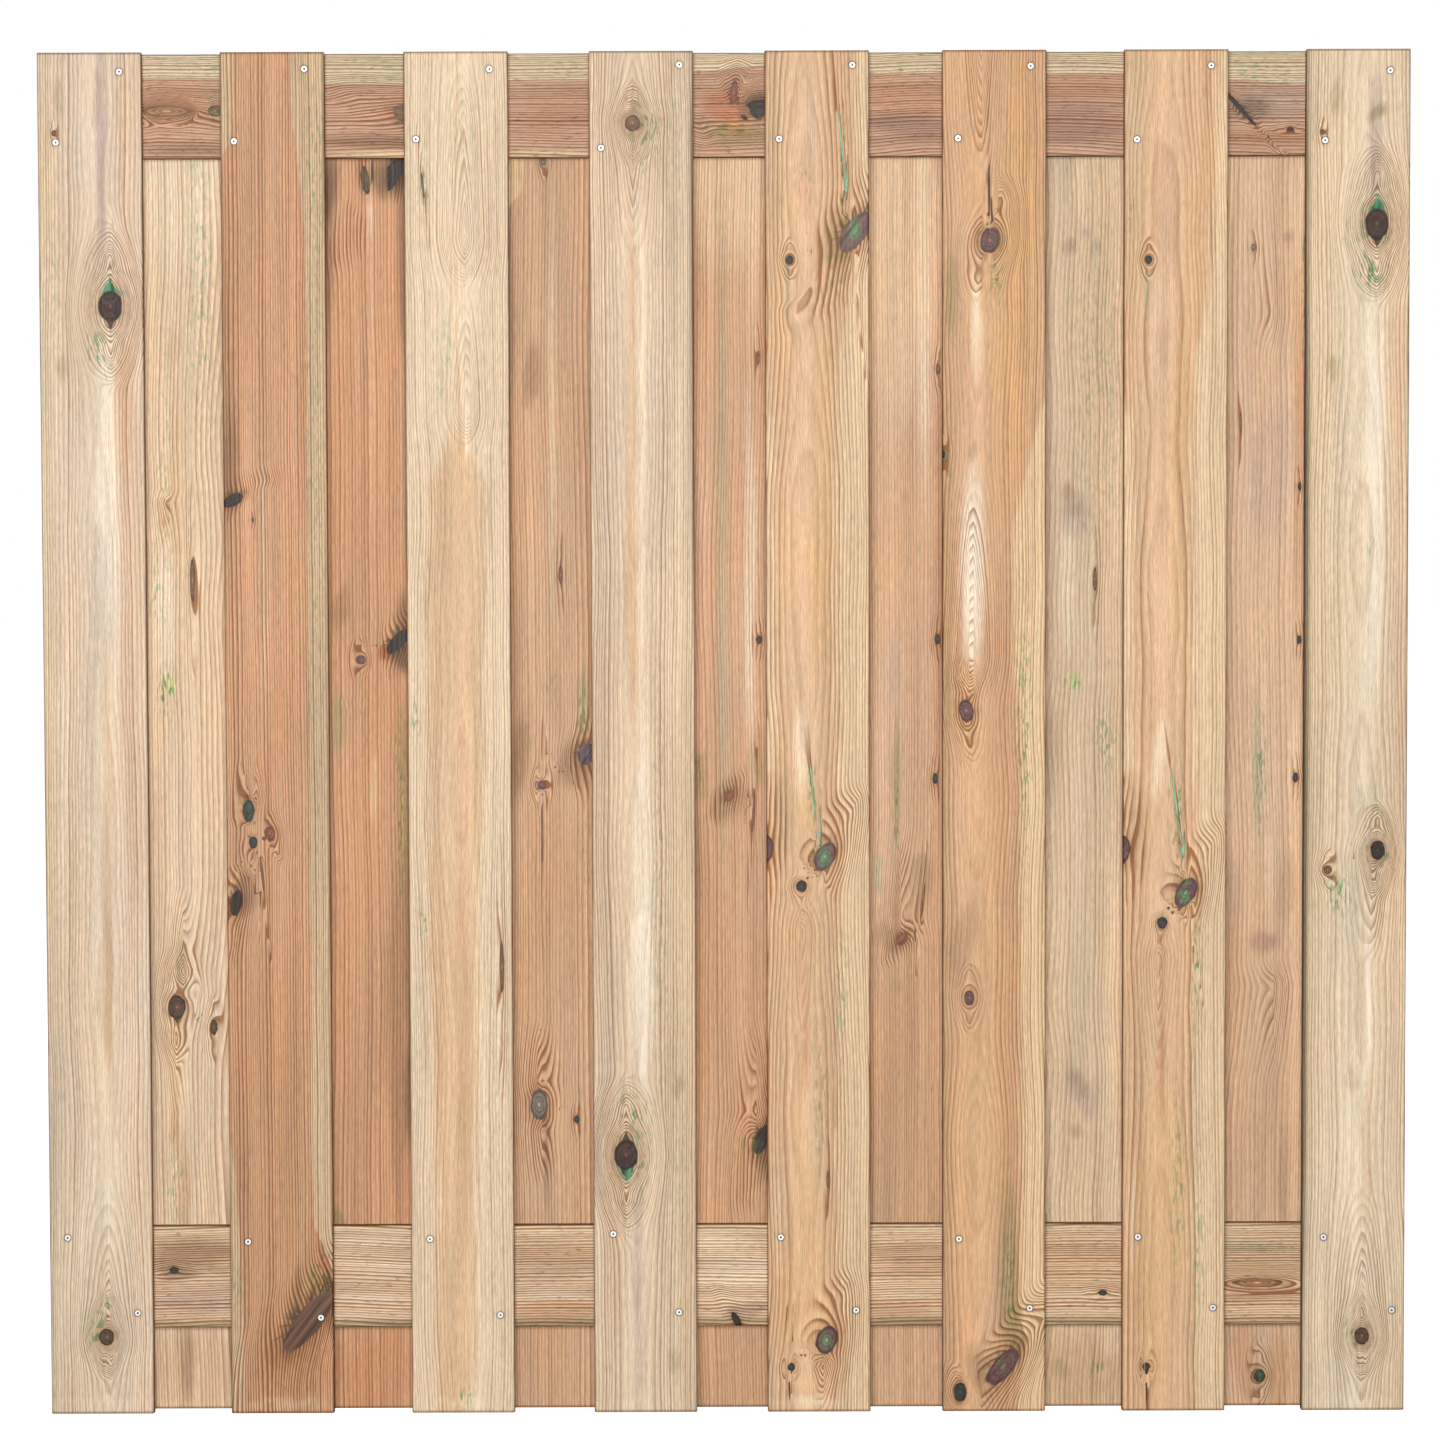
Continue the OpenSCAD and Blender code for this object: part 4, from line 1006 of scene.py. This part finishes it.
def build_screws(tree, g, out):
    index = node(tree, "GeometryNodeInputIndex").outputs[0]
    last = len(SCREW_ROWS) - 1
    along = calc(tree, "DIVIDE", index, float(last))
    line = node(tree, "GeometryNodeCurvePrimitiveLine", {"End": (0.0, 0.0, 0.028)}).outputs[0]
    line = node(tree, "GeometryNodeResampleCurve", {"Curve": line, "Count": last + 1}).outputs[0]
    height = profile_curve(tree, along, [row[0] for row in SCREW_ROWS])
    radius = profile_curve(tree, along, [row[1] for row in SCREW_ROWS])
    line = node(tree, "GeometryNodeSetPosition", {"Geometry": line, "Position": combine(tree, 0.0, 0.0, height)}).outputs[0]
    circle = node(tree, "GeometryNodeCurvePrimitiveCircle", {"Resolution": 40, "Radius": 1.0}).outputs[0]
    shank = node(tree, "GeometryNodeCurveToMesh",
                 {"Curve": line, "Profile Curve": circle, "Scale": radius, "Fill Caps": True}).outputs[0]

    # six-lobe recess
    lobe = node(tree, "GeometryNodeCurvePrimitiveCircle", {"Resolution": 48, "Radius": 1.0}).outputs[0]
    wave = calc(tree, "COSINE", calc(tree, "MULTIPLY", index, 6 * 2 * math.pi / 48))
    size = calc(tree, "MULTIPLY_ADD", wave, g["Recess Lobe"], g["Recess"])
    spread = node(tree, "ShaderNodeVectorMath", {0: node(tree, "GeometryNodeInputPosition").outputs[0]}, operation="SCALE")
    put(tree, spread.inputs["Scale"], size)
    lobe = node(tree, "GeometryNodeSetPosition", {"Geometry": lobe, "Position": spread.outputs[0]}).outputs[0]
    core = node(tree, "GeometryNodeCurvePrimitiveLine",
                {"Start": (0.0, 0.0, -0.001), "End": combine(tree, 0.0, 0.0, g["Recess Depth"])}).outputs[0]
    recess = node(tree, "GeometryNodeCurveToMesh", {"Curve": core, "Profile Curve": lobe, "Fill Caps": True}).outputs[0]
    shank = node(tree, "GeometryNodeMeshBoolean", {"Mesh 1": shank, "Mesh 2": recess}, operation="DIFFERENCE",
                 solver="EXACT").outputs[0]

    # thread
    helix = node(tree, "GeometryNodeCurveSpiral", {
        "Resolution": 14, "Rotations": SCREW_TURNS, "Start Radius": 0.00135, "End Radius": 0.00095,
        "Height": 0.020}).outputs[0]
    helix = node(tree, "GeometryNodeTransform", {"Geometry": helix, "Translation": (0.0, 0.0, 0.0068)}).outputs[0]
    ridge = node(tree, "GeometryNodeCurvePrimitiveCircle", {"Resolution": 3, "Radius": 0.00045}).outputs[0]
    thread = node(tree, "GeometryNodeCurveToMesh", {"Curve": helix, "Profile Curve": ridge, "Fill Caps": True}).outputs[0]
    join = tree.nodes.new("GeometryNodeJoinGeometry")
    for part in (shank, thread):
        tree.links.new(part, join.inputs[0])

    here = node(tree, "GeometryNodeInputPosition").outputs[0]
    turned_at = node(tree, "ShaderNodeVectorMath", {0: here, 1: (1000.0, 1000.0, 1000.0)}, operation="MULTIPLY").outputs[0]
    screw = node(tree, "GeometryNodeStoreNamedAttribute", {"Geometry": join.outputs[0], "Name": "turned", "Value": turned_at},
                 data_type="FLOAT_VECTOR", domain="POINT").outputs[0]

    spin = node(tree, "FunctionNodeRandomValue", data_type="FLOAT")
    spin.inputs[2].default_value, spin.inputs[3].default_value = 0.0, 2 * math.pi
    put(tree, spin.inputs["Seed"], g["Seed"])
    spun = node(tree, "FunctionNodeEulerToRotation", {0: combine(tree, 0.0, 0.0, spin.outputs[1])}).outputs[0]
    tilt = combine(tree, calc(tree, "MULTIPLY", g["Facing"], math.pi / 2), 0.0, 0.0)
    tilted = node(tree, "FunctionNodeEulerToRotation", {0: tilt}).outputs[0]
    turned = node(tree, "FunctionNodeRotateRotation", {0: spun, 1: tilted}).outputs[0]
    points = node(tree, "GeometryNodeMeshToPoints", {"Mesh": g["Head Points"]}).outputs[0]
    screws = node(tree, "GeometryNodeInstanceOnPoints",
                  {"Points": points, "Instance": screw, "Rotation": turned}).outputs[0]
    screws = node(tree, "GeometryNodeRealizeInstances", {0: screws}).outputs[0]
    normal = split(tree, node(tree, "GeometryNodeInputNormal").outputs[0])
    flat = calc(tree, "GREATER_THAN", calc(tree, "ABSOLUTE", normal[1]), 0.9)
    screws = node(tree, "GeometryNodeSetShadeSmooth", {"Geometry": screws, "Shade Smooth": True}).outputs[0]
    screws = node(tree, "GeometryNodeSetShadeSmooth",
                  {"Geometry": screws, "Selection": flat, "Shade Smooth": False}).outputs[0]
    put(tree, out["Screws"], node(tree, "GeometryNodeSetMaterial", {"Geometry": screws, "Material": g["Material"]}).outputs[0])


build_screws(screw_tree, screw_in, screw_out)

steel = bpy.data.materials.new("stainless")
steel.use_nodes = True
steel_tree = steel.node_tree
steel_shader = steel_tree.nodes["Principled BSDF"]
grit = noise(steel_tree, node(steel_tree, "ShaderNodeVectorMath", {
    0: node(steel_tree, "ShaderNodeTexCoord").outputs["Object"], 1: (900.0, 900.0, 900.0)}, operation="MULTIPLY").outputs[0], 2.0)
put(steel_tree, steel_shader.inputs["Roughness"], calc(steel_tree, "MULTIPLY_ADD", grit, 0.2, 0.45))
steel_bump = node(steel_tree, "ShaderNodeBump", {"Strength": 0.3, "Distance": 0.00003, "Height": grit})
put(steel_tree, steel_shader.inputs["Normal"], steel_bump.outputs[0])
# the six-lobe recess is coloured dark, dull and not metallic: painted shade, with some dirt, inside the recess
turned_at = split(steel_tree, attribute(steel_tree, "turned", "Vector"))
from_axis = calc(steel_tree, "SQRT", calc(steel_tree, "ADD", calc(steel_tree, "MULTIPLY", turned_at[0], turned_at[0]),
                                          calc(steel_tree, "MULTIPLY", turned_at[1], turned_at[1])))
sunk = calc(steel_tree, "MULTIPLY", step(steel_tree, turned_at[2], 0.02, 0.5),
            calc(steel_tree, "SUBTRACT", 1.0, step(steel_tree, from_axis, 1.9, 2.2)))
put(steel_tree, steel_shader.inputs["Base Color"], mix(steel_tree, sunk, (*linear("d4d4d2"), 1), (*linear("4a4e58"), 1)))
put(steel_tree, steel_shader.inputs["Metallic"], calc(steel_tree, "SUBTRACT", 1.0, sunk))
put(steel_tree, steel_shader.inputs["Specular IOR Level"], calc(steel_tree, "MULTIPLY_ADD", sunk, -0.46, 0.5))

screw_pieces = {}
for number, name in enumerate(SCREW_NODES):
    piece = bake(name + "_turned", screw_tree, HEADS[name], {
        "Facing": -1.0 if name.startswith("front") else 1.0, "Seed": 3 + number, "Material": steel})
    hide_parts(name)
    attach(piece, "root")
    screw_pieces[name] = piece
print({name: triangles(p) for name, p in screw_pieces.items()})

# %% [markdown]
# ## Light and ground
#
# The photograph is a cut-out on white under very even light. One broad lamp stands behind the camera and a dim sky
# fills the rest, so the gaps behind the boards go dark by themselves. A second, weaker lamp behind the panel lights
# its other side, which would be black without it. The ground is white to the camera and keeps only a faint trace of
# the panel's shadow.

# %% Stage
KEY_SIZE = 3.0
KEY_POWER, BACK_POWER = 290.0, 200.0
SKY = 0.08

world = bpy.data.worlds.new("white")
bpy.context.scene.world = world
world.use_nodes = True
wt = world.node_tree
rays = node(wt, "ShaderNodeLightPath").outputs
seen = calc(wt, "MAXIMUM", rays["Is Camera Ray"], calc(wt, "MAXIMUM", rays["Is Glossy Ray"], rays["Is Transmission Ray"]))
put(wt, wt.nodes["Background"].inputs["Color"], (1, 1, 1, 1))
put(wt, wt.nodes["Background"].inputs["Strength"], calc(wt, "MULTIPLY_ADD", seen, 1 - SKY, SKY))

for lamp_name, power, lamp_place in (("key", KEY_POWER, (0.6, -5.6, 1.6)), ("back", BACK_POWER, (1.3, 5.6, 1.9))):
    lamp_data = bpy.data.lights.new(lamp_name, "AREA")
    lamp_data.size = KEY_SIZE
    lamp_data.energy = power
    lamp = bpy.data.objects.new(lamp_name, lamp_data)
    bpy.context.scene.collection.objects.link(lamp)
    lamp.location = lamp_place
    lamp.rotation_euler = (Vector((0.9, 0, 0.7)) - lamp.location).to_track_quat("-Z", "Y").to_euler()

floor_mesh = bpy.data.meshes.new("ground")
reach = 30.0
floor_mesh.from_pydata([(-reach, -reach, FOOT_Z), (reach, -reach, FOOT_Z), (reach, reach, FOOT_Z), (-reach, reach, FOOT_Z)],
                       [], [(0, 1, 2, 3)])
floor = bpy.data.objects.new("ground", floor_mesh)
bpy.context.scene.collection.objects.link(floor)
paper = bpy.data.materials.new("paper")
paper.use_nodes = True
pt = paper.node_tree
pt.nodes.remove(pt.nodes["Principled BSDF"])
diffuse = node(pt, "ShaderNodeBsdfDiffuse", {0: (0.25, 0.25, 0.25, 1)})
glow = node(pt, "ShaderNodeEmission", {0: (1, 1, 1, 1), 1: node(pt, "ShaderNodeLightPath").outputs["Is Camera Ray"]})
sheet = node(pt, "ShaderNodeAddShader", {0: diffuse.outputs[0], 1: glow.outputs[0]})
put(pt, pt.nodes["Material Output"].inputs[0], sheet.outputs[0])
floor_mesh.materials.append(paper)

bpy.context.scene.view_settings.view_transform = "Standard"
print("stage ready")
